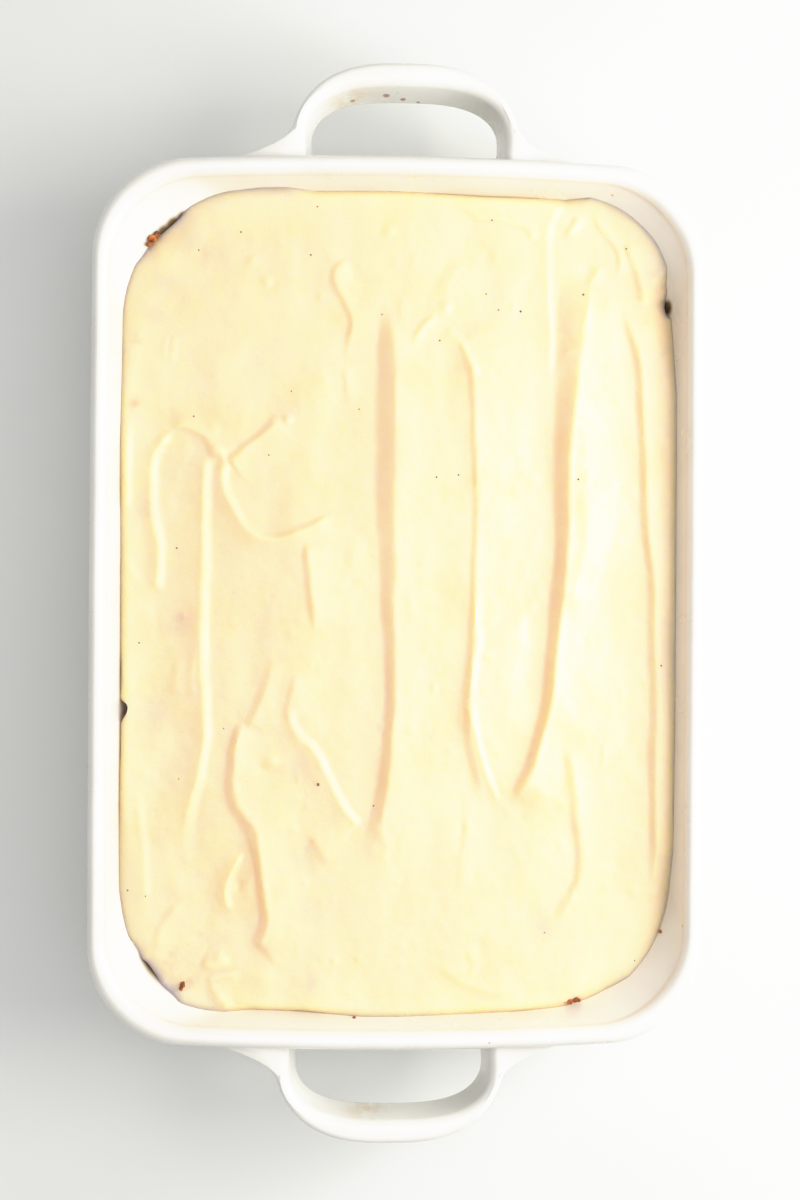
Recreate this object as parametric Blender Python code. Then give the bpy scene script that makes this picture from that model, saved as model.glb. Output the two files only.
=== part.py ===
"""Unbaked moussaka in the stoneware baking dish that it is made in.

Metres, +Z up. The origin is on the table under the middle of the dish, X runs across it and Y along it,
towards one of its two handles. The dish holds three layers: meat sauce on its floor, slices of aubergine
on the sauce, and white sauce spread over them with the back of a spoon.
"""

import math

import bmesh
import bpy
from mathutils import Matrix, Vector, noise

# Dish, outside. Its rim bows out in the middle of each side, and its end walls lean more than its long ones.
RIM_HALF_WIDTH = 0.1231
RIM_HALF_LENGTH = 0.179
RIM_CORNER = 0.0367
LONG_SIDE_BOW = 0.0005
SHORT_SIDE_BOW = 0.0047
END_WALL_LEAN = 1.12
DISH_HEIGHT = 0.065
RIM_WIDTH = 0.007
RIM_ROUND_HEIGHT = 0.0045
RIM_LIP = 0.0024
RIM_UNDERCUT_ANGLE = -30.0
OUTER_SLOPE = 0.20
BASE_ROUND_WIDTH = 0.0115
BASE_ROUND_HEIGHT = 0.0135
BASE_CORNER = 0.034
FOOT_WIDTH = 0.005
FOOT_HEIGHT = 0.001

# Dish, inside. Its corners are rounder than the rim's, the more so further down.
FLOOR_THICKNESS = 0.007
INNER_SLOPE = 0.25
INNER_RIM_CORNER = 0.0355
INNER_DEEP_CORNER = 0.050
DEEP_CORNER_DEPTH = 0.016
COVE_WIDTH = 0.0095
COVE_HEIGHT = 0.0125

# Handles: an upright strap, bent round a finger gap and flared where it joins the end wall.
HANDLE_TOP = 0.058
HANDLE_DEPTH = 0.0185
HANDLE_LEAN = 0.0038
HANDLE_ROUND = 0.0032
HANDLE_OFFSET = 0.0020
GAP_HALF_WIDTH = 0.0383
GAP_START = 0.183
GAP_REACH = 0.0223
GAP_POWER = 2.9
GRIP_HALF_WIDTH = 0.0480
GRIP_START = 0.172
GRIP_REACH = 0.0465
GRIP_POWER = 2.7
FLARE_WIDTH = 0.034
FLARE_START = 0.174
FLARE_REACH = 0.018

# Food layers, by the heights where they end.
SAUCE_TOP = 0.0345
AUBERGINE_TOP = 0.0425
CREAM_TOP = 0.0518
LAYER_GAP = 0.0003
WALL_GAP = 0.0005
SLICE_WIDTH = 0.046
SLICE_BITE = 0.0022
CREAM_UNEVEN = 0.0008
CREAM_EDGE_DROP = 0.0022
CREAM_EDGE_WIDTH = 0.010

# How finely the curves are cut.
CORNER_STEPS = 8
LONG_SIDE_STEPS = 4
SHORT_SIDE_STEPS = 6
BASE_STEPS = 4
RIM_STEPS = 7
HANDLE_STEPS = 26
HANDLE_ROUND_STEPS = 3
CREAM_COLUMNS = 36
CREAM_ROWS = 54
RIDGE_STEPS = 6

# Where the white sauce stands off from the wall: place on the edge, how far along it, how wide.
EDGE_GAPS = (
    ((-0.0955, 0.1500), 0.013, 0.0026),
    ((0.1070, 0.1440), 0.015, 0.0026),
    ((0.1110, 0.1210), 0.013, 0.0034),
    ((-0.0980, -0.1570), 0.012, 0.0030),
    ((0.0880, -0.1600), 0.022, 0.0014),
)


class Ridge:
    """A ridge that the spoon left: crest points towards -Y, height, and the widths of its two flanks."""

    def __init__(self, crest, height, left_width, right_width):
        self.crest = smooth_line(crest)
        self.height = height
        self.left_width = left_width
        self.right_width = right_width

    def lift(self, place):
        """How much the ridge lifts the white sauce at a place."""
        nearest = min(
            (beside(place, start, end) for start, end in zip(self.crest, self.crest[1:])),
            key=abs,
        )
        width = self.right_width if nearest > 0 else self.left_width
        return self.height * math.exp(-((nearest / width) ** 2))


def smooth_line(points):
    """A Catmull-Rom curve through the given points."""
    ends = [Vector(point) for point in points]
    ends = [2 * ends[0] - ends[1], *ends, 2 * ends[-1] - ends[-2]]
    line = []
    for before, start, end, after in zip(ends, ends[1:], ends[2:], ends[3:]):
        for step in range(RIDGE_STEPS):
            t = step / RIDGE_STEPS
            slope = (end - before) * t
            bend = (2 * before - 5 * start + 4 * end - after) * t**2
            twist = (3 * start - before - 3 * end + after) * t**3
            line.append(start + 0.5 * (slope + bend + twist))
    line.append(ends[-2])
    return line


def beside(place, start, end):
    """The distance of a place from a stretch of line; below zero on its +X side when it runs to -Y."""
    along = end - start
    share = max(0.0, min(1.0, (place - start).dot(along) / along.length_squared))
    away = place - (start + along * share)
    return math.copysign(away.length, along.x * away.y - along.y * away.x)


def clear_scene():
    """Removes what the scene starts with."""
    for obj in list(bpy.data.objects):
        bpy.data.objects.remove(obj)


def material(name, colour, roughness):
    """A plain material that is not metal."""
    made = bpy.data.materials.new(name)
    made.use_nodes = True
    shader = made.node_tree.nodes["Principled BSDF"]
    shader.inputs["Base Color"].default_value = (*colour, 1.0)
    shader.inputs["Roughness"].default_value = roughness
    shader.inputs["Metallic"].default_value = 0.0
    return made


def glazed_stoneware():
    return material("glazed_stoneware", (0.90, 0.89, 0.83), 0.25)


def cooked_mince():
    return material("cooked_mince", (0.24, 0.10, 0.04), 0.6)


def fried_aubergine():
    return material("fried_aubergine", (0.07, 0.05, 0.035), 0.4)


def white_sauce():
    return material("white_sauce", (0.95, 0.84, 0.55), 0.35)


def solid(name, data, surface):
    """Turns a bmesh into a named object with its faces pointing out."""
    bmesh.ops.recalc_face_normals(data, faces=data.faces)
    mesh = bpy.data.meshes.new(name)
    data.to_mesh(mesh)
    data.free()
    mesh.shade_smooth()
    mesh.set_sharp_from_angle(angle=math.radians(50.0))
    mesh.materials.append(surface)
    obj = bpy.data.objects.new(name, mesh)
    bpy.context.scene.collection.objects.link(obj)
    return obj


def half_sizes(inset):
    """Half the width and half the length of a ring that is set in from the rim's outer edge."""
    return RIM_HALF_WIDTH - inset, RIM_HALF_LENGTH - inset * END_WALL_LEAN


def bowed(x, y):
    """A plan point with the bow of the dish's sides: the further from a side's middle, the further in."""
    along = min(1.0, abs(y) / RIM_HALF_LENGTH)
    across = min(1.0, abs(x) / RIM_HALF_WIDTH)
    return Vector(
        (
            x - math.copysign(LONG_SIDE_BOW * along**2, x),
            y - math.copysign(SHORT_SIDE_BOW * across**2, y),
        )
    )


def rounded_outline(inset, corner):
    """The plan points of a bowed rectangle with rounded corners, in order round it."""
    half_width, half_length = half_sizes(inset)
    outline = []
    for quarter in range(4):
        middle = Vector(
            (
                (half_width - corner) * (1, -1, -1, 1)[quarter],
                (half_length - corner) * (1, 1, -1, -1)[quarter],
            )
        )
        arc = []
        for step in range(CORNER_STEPS + 1):
            turn = math.radians(90.0 * (quarter + step / CORNER_STEPS))
            arc.append(middle + corner * Vector((math.cos(turn), math.sin(turn))))
        if outline:
            side_steps = SHORT_SIDE_STEPS if quarter % 2 else LONG_SIDE_STEPS
            outline += points_between(outline[-1], arc[0], side_steps)
        outline += arc
    outline += points_between(outline[-1], outline[0], LONG_SIDE_STEPS)
    return [bowed(*point) for point in outline]


def points_between(start, end, steps):
    """The points inside a straight stretch that is cut into equal steps."""
    return [start.lerp(end, step / steps) for step in range(1, steps)]


def ring(inset, height, corner):
    """A rounded outline at one height."""
    return [Vector((*point, height)) for point in rounded_outline(inset, corner)]


def joined_rings(rings):
    """A closed bmesh: faces between neighbouring rings, and a flat face over the first and the last."""
    data = bmesh.new()
    loops = [[data.verts.new(point) for point in points] for points in rings]
    for lower, upper in zip(loops, loops[1:]):
        add_band(data, lower, upper)
    data.faces.new(loops[0])
    data.faces.new(loops[-1])
    return data


def add_band(data, lower, upper):
    """Faces between two closed loops of as many points."""
    for i in range(len(lower)):
        following = (i + 1) % len(lower)
        data.faces.new((lower[i], lower[following], upper[following], upper[i]))


def outer_inset(height):
    """How far in from the rim's edge the outer wall stands at a height."""
    return RIM_LIP + (lip_foot() - height) * OUTER_SLOPE


def lip_foot():
    """The height where the rim's lip meets the outer wall."""
    undercut = math.radians(RIM_UNDERCUT_ANGLE)
    return DISH_HEIGHT - RIM_ROUND_HEIGHT * (1.0 - math.sin(undercut)) - RIM_LIP / 2


def inner_inset(height):
    """How far in from the rim's edge the inner wall stands at a height."""
    return RIM_WIDTH + (DISH_HEIGHT - RIM_ROUND_HEIGHT - height) * INNER_SLOPE


def inner_corner(height):
    """The inner wall's corner radius at a height: rounder further down."""
    depth = (DISH_HEIGHT - RIM_ROUND_HEIGHT - height) / DEEP_CORNER_DEPTH
    return INNER_RIM_CORNER + (INNER_DEEP_CORNER - INNER_RIM_CORNER) * max(0.0, min(1.0, depth))


def foot_profile():
    """The dish's section as (inset, height, corner), from under its middle round its lower edge."""
    wall_foot = outer_inset(BASE_ROUND_HEIGHT)
    foot_outer = wall_foot + BASE_ROUND_WIDTH
    foot_inner = foot_outer + FOOT_WIDTH
    profile = [(foot_inner + FOOT_HEIGHT, FOOT_HEIGHT, BASE_CORNER), (foot_inner, 0.0, BASE_CORNER)]
    for step in range(BASE_STEPS + 1):
        turn = math.radians(90.0 * step / BASE_STEPS)
        inset = foot_outer - BASE_ROUND_WIDTH * math.sin(turn)
        height = BASE_ROUND_HEIGHT * (1.0 - math.cos(turn))
        profile.append((inset, height, BASE_CORNER))
    return profile


def rim_profile():
    """The dish's section over the rounded rim, from its lip to its inner edge."""
    half_rim = RIM_WIDTH / 2
    spring = DISH_HEIGHT - RIM_ROUND_HEIGHT
    profile = [(RIM_LIP, lip_foot(), RIM_CORNER - RIM_LIP / 2)]
    for step in range(RIM_STEPS + 1):
        share = step / RIM_STEPS
        turn = math.radians(RIM_UNDERCUT_ANGLE + (180.0 - RIM_UNDERCUT_ANGLE) * share)
        inset = half_rim * (1.0 - math.cos(turn))
        height = spring + RIM_ROUND_HEIGHT * math.sin(turn)
        profile.append((inset, height, RIM_CORNER + (INNER_RIM_CORNER - RIM_CORNER) * share))
    return profile


def inner_profile():
    """The dish's section down its inner wall and round the cove to its floor."""
    cove_top = FLOOR_THICKNESS + COVE_HEIGHT
    deep = DISH_HEIGHT - RIM_ROUND_HEIGHT - DEEP_CORNER_DEPTH
    profile = [(inner_inset(deep), deep, INNER_DEEP_CORNER)]
    for step in range(BASE_STEPS + 1):
        turn = math.radians(90.0 * step / BASE_STEPS)
        inset = inner_inset(cove_top) + COVE_WIDTH * (1.0 - math.cos(turn))
        profile.append((inset, cove_top - COVE_HEIGHT * math.sin(turn), INNER_DEEP_CORNER))
    return profile


def across_handle(half_width, start, reach, power, turn):
    """A point of a handle's rounded plan curve; turn runs from -90 to 90 degrees across it."""
    across = math.sin(turn)
    out = max(math.cos(turn), 0.0)
    return Vector(
        (
            math.copysign(half_width * abs(across) ** (2 / power), across),
            start + reach * out ** (2 / power),
        )
    )


def flare(out):
    """How much the strap spreads sideways where it nears the end wall."""
    share = (out - FLARE_START) / FLARE_REACH
    return FLARE_WIDTH * (1.0 - max(0.0, min(1.0, share))) ** 2


def handle_section(inner, outer):
    """A rounded section of the strap between its two plan curves, leaning out towards its top."""
    outward = (outer - inner).normalized()
    thickness = (outer - inner).length
    section = []
    for quarter in range(4):
        corner = Vector(
            (
                thickness / 2 + (thickness / 2 - HANDLE_ROUND) * (1, -1, -1, 1)[quarter],
                HANDLE_TOP
                - HANDLE_DEPTH / 2
                + (HANDLE_DEPTH / 2 - HANDLE_ROUND) * (1, 1, -1, -1)[quarter],
            )
        )
        for step in range(HANDLE_ROUND_STEPS + 1):
            turn = math.radians(90.0 * (quarter + step / HANDLE_ROUND_STEPS))
            out, height = corner + HANDLE_ROUND * Vector((math.cos(turn), math.sin(turn)))
            lean = HANDLE_LEAN * (HANDLE_TOP - height) / HANDLE_DEPTH
            section.append(Vector((*(inner + outward * (out - lean)), height)))
    return section


def in_end_wall(point):
    """The point moved along Y to the middle of the end wall's thickness."""
    inset = (outer_inset(point.z) + inner_inset(point.z)) / 2
    x, y = bowed(point.x, half_sizes(inset)[1])
    return Vector((x, y, point.z))


def handle_sections():
    """The sections of the handle at +Y, from one root inside the wall to the other."""
    sections = []
    for step in range(HANDLE_STEPS + 1):
        turn = math.radians(-90.0 + 180.0 * step / HANDLE_STEPS)
        inner = across_handle(GAP_HALF_WIDTH, GAP_START, GAP_REACH, GAP_POWER, turn)
        outer = across_handle(GRIP_HALF_WIDTH, GRIP_START, GRIP_REACH, GRIP_POWER, turn)
        inner += (outer - inner).normalized() * HANDLE_LEAN
        outer.x += math.copysign(flare(outer.y), outer.x)
        sections.append(handle_section(inner, outer))
    first = [in_end_wall(point) for point in sections[0]]
    last = [in_end_wall(point) for point in sections[-1]]
    return [first, *sections, last]


def make_dish(surface):
    """The dish: one piece of stoneware, both handles joined to it."""
    profile = foot_profile() + rim_profile() + inner_profile()
    dish = solid("dish", joined_rings([ring(*place) for place in profile]), surface)
    for number, turn in enumerate((0.0, math.pi), start=1):
        place = Matrix.Rotation(turn, 4, "Z") @ Matrix.Translation((HANDLE_OFFSET, 0.0, 0.0))
        sections = [[place @ point for point in section] for section in handle_sections()]
        handle = solid(f"handle_cutter_{number}", joined_rings(sections), surface)
        handle.hide_render = True
        handle.display_type = "WIRE"
        join = dish.modifiers.new(f"join_handle_{number}", "BOOLEAN")
        join.operation = "UNION"
        join.object = handle
    return dish


def make_meat_sauce(surface):
    """The bottom layer: it fills the dish's floor and cove."""
    cove = [
        (inset + WALL_GAP, height + LAYER_GAP, corner)
        for inset, height, corner in reversed(inner_profile())
        if height < SAUCE_TOP
    ]
    top = (inner_inset(SAUCE_TOP) + WALL_GAP, SAUCE_TOP, INNER_DEEP_CORNER)
    return solid("meat_sauce", joined_rings([ring(*place) for place in [*cove, top]]), surface)


def slice_bite(distance):
    """How far the round ends of neighbouring slices fall back, at a distance along the layer's edge."""
    return SLICE_BITE * (1.0 - abs(math.sin(math.pi * distance / SLICE_WIDTH)))


def scalloped(points):
    """A ring whose edge shows the round ends of the aubergine slices."""
    moved = []
    distance = 0.0
    for before, point in zip([points[-1], *points], points):
        distance += (point - before).length
        inward = Vector((-point.x, -point.y, 0.0)).normalized()
        moved.append(point + inward * slice_bite(distance))
    return moved


def make_aubergine(surface):
    """The middle layer: slices of aubergine laid side by side up to the wall."""
    bottom = SAUCE_TOP + LAYER_GAP
    heights = (bottom, AUBERGINE_TOP)
    rings = [ring(inner_inset(z) + WALL_GAP, z, inner_corner(z)) for z in heights]
    return solid("aubergine", joined_rings([scalloped(points) for points in rings]), surface)


def spoon_ridges():
    """The ridges between the spoon's strokes, in the order of their size."""
    return (
        Ridge(((0.0645, 0.160), (0.0670, 0.020), (0.0590, -0.052), (0.0480, -0.080)), 0.0022, 0.005, 0.011),
        Ridge(((0.0015, 0.118), (-0.0015, -0.010), (-0.0030, -0.058), (-0.0085, -0.088)), 0.0019, 0.005, 0.008),
        Ridge(((0.0130, 0.110), (0.0315, 0.070), (0.0310, -0.042), (0.0440, -0.078)), 0.0013, 0.005, 0.006),
        Ridge(((0.0920, 0.150), (0.1010, 0.050), (0.1040, -0.010), (0.1040, -0.090)), 0.0012, 0.005, 0.006),
        Ridge(((-0.0960, 0.010), (-0.0880, 0.070), (-0.0600, 0.028), (-0.0370, 0.026)), 0.0013, 0.005, 0.005),
        Ridge(((-0.0770, 0.052), (-0.0780, -0.060), (-0.0850, -0.100)), 0.0012, 0.006, 0.006),
        Ridge(((-0.0540, -0.036), (-0.0670, -0.074), (-0.0600, -0.105), (-0.0680, -0.124)), 0.0015, 0.005, 0.009),
    )


def square_to_layer(across, along, height):
    """The plan place of a grid point, both shares from -1 to 1, in a layer that fits the dish."""
    reach = max(abs(across), abs(along))
    if reach == 0.0:
        return Vector((0.0, 0.0))
    half_width, half_length = half_sizes(inner_inset(height) + WALL_GAP)
    corner = inner_corner(height)
    x = half_width * across / reach
    y = half_length * along / reach
    past_x = abs(x) - half_width + corner
    past_y = abs(y) - half_length + corner
    if past_x > 0.0 and past_y > 0.0:
        shrink = max(past_x, past_y) / math.hypot(past_x, past_y)
        x = math.copysign(half_width - corner + past_x * shrink, x)
        y = math.copysign(half_length - corner + past_y * shrink, y)
    outer = bowed(x, y)
    drawn_back = min(0.5, edge_gap(outer) * reach**8 / outer.length)
    return outer * reach * (1.0 - drawn_back)


def edge_gap(place):
    """How far the white sauce stands off from the wall near a place."""
    return sum(
        width * math.exp(-(((place - Vector(middle)).length / reach) ** 2))
        for middle, reach, width in EDGE_GAPS
    )


def cream_height(place, reach, ridges):
    """The top of the white sauce, with the spoon's ridges and the drop at its edge."""
    edge = max(0.0, 1.0 - (1.0 - reach) * RIM_HALF_WIDTH / CREAM_EDGE_WIDTH)
    ridge = max(ridge.lift(place) for ridge in ridges)
    uneven = CREAM_UNEVEN * noise.noise(Vector((place.x * 24.0, place.y * 15.0, 0.3)))
    return CREAM_TOP + uneven + ridge * (1.0 - edge) - CREAM_EDGE_DROP * edge**2


def border_shares():
    """The grid's border points as pairs of shares from -1 to 1, in order round it."""
    columns = [2.0 * i / CREAM_COLUMNS - 1.0 for i in range(CREAM_COLUMNS + 1)]
    rows = [2.0 * i / CREAM_ROWS - 1.0 for i in range(CREAM_ROWS + 1)]
    border = [(across, -1.0) for across in columns[:-1]]
    border += [(1.0, along) for along in rows[:-1]]
    border += [(across, 1.0) for across in columns[:0:-1]]
    border += [(-1.0, along) for along in rows[:0:-1]]
    return border


def make_bechamel(surface):
    """The top layer: white sauce, ridged by the spoon and standing off from the wall in places."""
    data = bmesh.new()
    ridges = spoon_ridges()
    grid = []
    for row in range(CREAM_ROWS + 1):
        line = []
        for column in range(CREAM_COLUMNS + 1):
            across = 2.0 * column / CREAM_COLUMNS - 1.0
            along = 2.0 * row / CREAM_ROWS - 1.0
            place = square_to_layer(across, along, CREAM_TOP - CREAM_EDGE_DROP)
            height = cream_height(place, max(abs(across), abs(along)), ridges)
            line.append(data.verts.new((*place, height)))
        grid.append(line)
    for lower, upper in zip(grid, grid[1:]):
        for i in range(CREAM_COLUMNS):
            data.faces.new((lower[i], lower[i + 1], upper[i + 1], upper[i]))
    edge = grid[0][:-1] + [line[-1] for line in grid[:-1]]
    edge += grid[-1][:0:-1] + [line[0] for line in grid[:0:-1]]
    bottom = AUBERGINE_TOP + LAYER_GAP
    foot = []
    for across, along in border_shares():
        foot.append(data.verts.new((*square_to_layer(across, along, bottom), bottom)))
    add_band(data, foot, edge)
    data.faces.new(foot)
    return solid("bechamel", data, surface)


clear_scene()
make_dish(glazed_stoneware())
make_meat_sauce(cooked_mince())
make_aubergine(fried_aubergine())
make_bechamel(white_sauce())
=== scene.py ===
"""The looks of an unbaked moussaka in its stoneware baking dish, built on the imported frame.

Metres, +Z up, the origin on the floor under the middle of the dish. Seen from above, as in the
photograph, +X is to the right and +Y is up.
"""

import math
import random

import bmesh
import bpy
import numpy as np
from mathutils import Euler, Matrix, Vector, noise


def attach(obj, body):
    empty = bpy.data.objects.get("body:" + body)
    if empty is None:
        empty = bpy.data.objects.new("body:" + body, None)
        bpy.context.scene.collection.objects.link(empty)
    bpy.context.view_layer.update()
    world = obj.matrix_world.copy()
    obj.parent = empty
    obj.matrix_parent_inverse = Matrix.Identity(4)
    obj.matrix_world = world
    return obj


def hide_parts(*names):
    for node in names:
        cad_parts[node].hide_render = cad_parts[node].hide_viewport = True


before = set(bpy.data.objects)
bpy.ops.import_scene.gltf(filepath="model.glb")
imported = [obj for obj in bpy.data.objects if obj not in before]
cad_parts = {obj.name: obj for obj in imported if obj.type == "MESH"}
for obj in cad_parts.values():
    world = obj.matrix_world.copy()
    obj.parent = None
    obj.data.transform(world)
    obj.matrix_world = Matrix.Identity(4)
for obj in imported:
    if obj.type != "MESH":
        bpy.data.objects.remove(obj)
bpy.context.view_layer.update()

# Baking dish. One piece of white stoneware, pressed in a mould and dipped in a clear, slightly warm
# glaze. It has a rounded rim, rounder corners further down, and a loop handle joined on at each end under
# the rim. Baked-on sauce has stained the inside of the handles.

RIM_HALF_WIDTH = 0.1231
RIM_HALF_LENGTH = 0.179
RIM_CORNER = 0.0367
LONG_SIDE_BOW = 0.0005
SHORT_SIDE_BOW = 0.0047
END_WALL_LEAN = 1.12
DISH_HEIGHT = 0.065
RIM_WIDTH = 0.007
RIM_ROUND_HEIGHT = 0.0045
RIM_LIP = 0.0024
RIM_UNDERCUT_ANGLE = -48.0
OUTER_SLOPE = 0.20
BASE_ROUND_WIDTH = 0.0115
BASE_ROUND_HEIGHT = 0.0135
BASE_CORNER = 0.034
FOOT_WIDTH = 0.005
FOOT_HEIGHT = 0.001
FLOOR_THICKNESS = 0.007
INNER_SLOPE = 0.25
INNER_RIM_CORNER = 0.0355
INNER_DEEP_CORNER = 0.050
DEEP_CORNER_DEPTH = 0.016
COVE_WIDTH = 0.0095
COVE_HEIGHT = 0.0125
CORNER_STEPS = 18
LONG_SIDE_STEPS = 24
SHORT_SIDE_STEPS = 16
ROUND_STEPS = 8
RIM_STEPS = 18

HANDLE_TOP = 0.058
HANDLE_DEPTH = 0.0185
HANDLE_LEAN = 0.0038
HANDLE_ROUND = 0.0032
HANDLE_OFFSET = 0.0020
HANDLE_ROUND_STEPS = 6
HANDLE_STEPS = 64
HANDLE_FILLET = 0.0035
GAP_HALF_WIDTH = 0.0383
GAP_START = 0.183
GAP_REACH = 0.0223
GAP_POWER = 2.9
GRIP_HALF_WIDTH = 0.0480
GRIP_START = 0.172
GRIP_REACH = 0.0464
GRIP_POWER = 2.7
FLARE_WIDTH = 0.034
FLARE_START = 0.174
FLARE_REACH = 0.018


def start_ring(name, points):
    """Adds a circle, numbers its points and lays it along the first ring."""
    bpy.ops.object.select_all(action="DESELECT")
    bpy.ops.mesh.primitive_circle_add(vertices=len(points))
    piece = bpy.context.object
    piece.name = name
    piece.data.name = name
    bpy.ops.object.mode_set(mode="EDIT")
    bpy.ops.mesh.select_all(action="SELECT")
    number_points()
    lay_ring(points)
    return piece


def number_points():
    """Gives each point of the piece being edited its number, which it keeps when it is extruded."""
    data = bmesh.from_edit_mesh(bpy.context.object.data)
    number = data.verts.layers.int.new("number")
    data.verts.ensure_lookup_table()
    for index, vertex in enumerate(data.verts):
        vertex[number] = index


def lay_ring(points):
    """Moves the selected ring along the points."""
    mesh = bpy.context.object.data
    data = bmesh.from_edit_mesh(mesh)
    number = data.verts.layers.int["number"]
    for vertex in data.verts:
        if vertex.select:
            vertex.co = points[vertex[number]]
    bmesh.update_edit_mesh(mesh)


def extrude_rings(rings):
    """Extrudes the selected ring along each following one."""
    for points in rings:
        bpy.ops.mesh.extrude_region_move()
        lay_ring(points)


def close_ends(inset):
    """Fills the two open rings, and keeps the rounding next to them off the flat middle."""
    bpy.ops.mesh.select_all(action="DESELECT")
    bpy.ops.mesh.select_non_manifold(extend=False)
    bpy.ops.mesh.edge_face_add()
    bpy.ops.mesh.inset(thickness=inset, use_individual=True)
    bpy.ops.mesh.select_all(action="SELECT")
    bpy.ops.mesh.normals_make_consistent(inside=False)
    bpy.ops.object.mode_set(mode="OBJECT")


def half_sizes(inset):
    """Half the width and length of a ring that is set in from the rim's outer edge."""
    return RIM_HALF_WIDTH - inset, RIM_HALF_LENGTH - inset * END_WALL_LEAN


def bowed(x, y):
    """A plan point with the bow of the dish's sides."""
    along = min(1.0, abs(y) / RIM_HALF_LENGTH)
    across = min(1.0, abs(x) / RIM_HALF_WIDTH)
    return (
        x - math.copysign(LONG_SIDE_BOW * along**2, x),
        y - math.copysign(SHORT_SIDE_BOW * across**2, y),
    )


def ring(inset, height, corner):
    """A bowed rectangle with rounded corners, at one height."""
    half_width, half_length = half_sizes(inset)
    flat = []
    for quarter in range(4):
        middle = Vector(
            (
                (half_width - corner) * (1, -1, -1, 1)[quarter],
                (half_length - corner) * (1, 1, -1, -1)[quarter],
            )
        )
        arc = []
        for step in range(CORNER_STEPS + 1):
            turn = math.radians(90.0 * (quarter + step / CORNER_STEPS))
            arc.append(middle + Vector((math.cos(turn), math.sin(turn))) * corner)
        if flat:
            steps = SHORT_SIDE_STEPS if quarter % 2 else LONG_SIDE_STEPS
            flat += points_between(flat[-1], arc[0], steps)
        flat += arc
    flat += points_between(flat[-1], flat[0], LONG_SIDE_STEPS)
    return [Vector((*bowed(*point), height)) for point in flat]


def points_between(start, end, steps):
    """The points inside a straight stretch that is cut into equal steps."""
    return [start.lerp(end, step / steps) for step in range(1, steps)]


def lip_foot():
    """The height where the rim's lip meets the outer wall."""
    undercut = math.radians(RIM_UNDERCUT_ANGLE)
    return DISH_HEIGHT - RIM_ROUND_HEIGHT * (1.0 - math.sin(undercut)) - RIM_LIP / 2


def outer_inset(height):
    """How far in from the rim's edge the outer wall stands at a height."""
    return RIM_LIP + (lip_foot() - height) * OUTER_SLOPE


def inner_inset(height):
    """How far in from the rim's edge the inner wall stands at a height."""
    return RIM_WIDTH + (DISH_HEIGHT - RIM_ROUND_HEIGHT - height) * INNER_SLOPE


def inner_corner(height):
    """The inner wall's corner radius at a height: rounder further down."""
    depth = (DISH_HEIGHT - RIM_ROUND_HEIGHT - height) / DEEP_CORNER_DEPTH
    return INNER_RIM_CORNER + (INNER_DEEP_CORNER - INNER_RIM_CORNER) * np.clip(depth, 0.0, 1.0)


def outside_profile():
    """The dish's section as (inset, height, corner), from under its middle to the rim's lip."""
    foot_outer = outer_inset(BASE_ROUND_HEIGHT) + BASE_ROUND_WIDTH
    foot_inner = foot_outer + FOOT_WIDTH
    profile = [
        (foot_inner + 2 * FOOT_HEIGHT, FOOT_HEIGHT, BASE_CORNER),
        (foot_inner + FOOT_HEIGHT, 0.4 * FOOT_HEIGHT, BASE_CORNER),
        (foot_inner, 0.0, BASE_CORNER),
        (foot_outer + FOOT_HEIGHT, 0.0, BASE_CORNER),
    ]
    for step in range(1, ROUND_STEPS + 1):
        turn = math.radians(90.0 * step / ROUND_STEPS)
        inset = foot_outer - BASE_ROUND_WIDTH * math.sin(turn)
        profile.append((inset, BASE_ROUND_HEIGHT * (1.0 - math.cos(turn)), BASE_CORNER))
    for share in (0.2, 0.4, 0.6, 0.8, 0.95):
        height = BASE_ROUND_HEIGHT + (lip_foot() - BASE_ROUND_HEIGHT) * share
        profile.append((outer_inset(height), height, BASE_CORNER + 0.0015 * share))
    return profile


def rim_profile():
    """The dish's section over the rounded rim, from its lip to its inner edge."""
    profile = [(RIM_LIP, lip_foot() + 0.0002, RIM_CORNER - RIM_LIP / 2)]
    for step in range(RIM_STEPS + 1):
        share = step / RIM_STEPS
        turn = math.radians(RIM_UNDERCUT_ANGLE + (180.0 - RIM_UNDERCUT_ANGLE) * share)
        inset = RIM_WIDTH / 2 * (1.0 - math.cos(turn))
        height = DISH_HEIGHT - RIM_ROUND_HEIGHT * (1.0 - math.sin(turn))
        profile.append((inset, height, RIM_CORNER + (INNER_RIM_CORNER - RIM_CORNER) * share))
    return profile


def inside_profile():
    """The dish's section down its inner wall and round the cove to its floor."""
    spring = DISH_HEIGHT - RIM_ROUND_HEIGHT
    cove_top = FLOOR_THICKNESS + COVE_HEIGHT
    profile = []
    for drop in (0.001, 0.003, 0.006, 0.009, 0.012, 0.016, 0.028):
        profile.append((inner_inset(spring - drop), spring - drop, inner_corner(spring - drop)))
    for step in range(ROUND_STEPS + 1):
        turn = math.radians(90.0 * step / ROUND_STEPS)
        inset = inner_inset(cove_top) + COVE_WIDTH * (1.0 - math.cos(turn))
        profile.append((inset, cove_top - COVE_HEIGHT * math.sin(turn), INNER_DEEP_CORNER))
    return profile


def across_handle(half_width, start, reach, power, turn):
    """A point of a handle's rounded plan curve; turn runs from -90 to 90 degrees across it."""
    across = math.sin(turn)
    out = max(math.cos(turn), 0.0)
    x = math.copysign(half_width * abs(across) ** (2 / power), across)
    return Vector((x, start + reach * out ** (2 / power)))


def flare(out):
    """How much the strap spreads sideways where it nears the end wall."""
    share = (out - FLARE_START) / FLARE_REACH
    return FLARE_WIDTH * (1.0 - max(0.0, min(1.0, share))) ** 2


def wall_distance(point):
    """How far a point of a handle stands out from the dish's end wall."""
    wall = bowed(point.x, half_sizes(outer_inset(point.z))[1])[1]
    return point.y - wall


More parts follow.
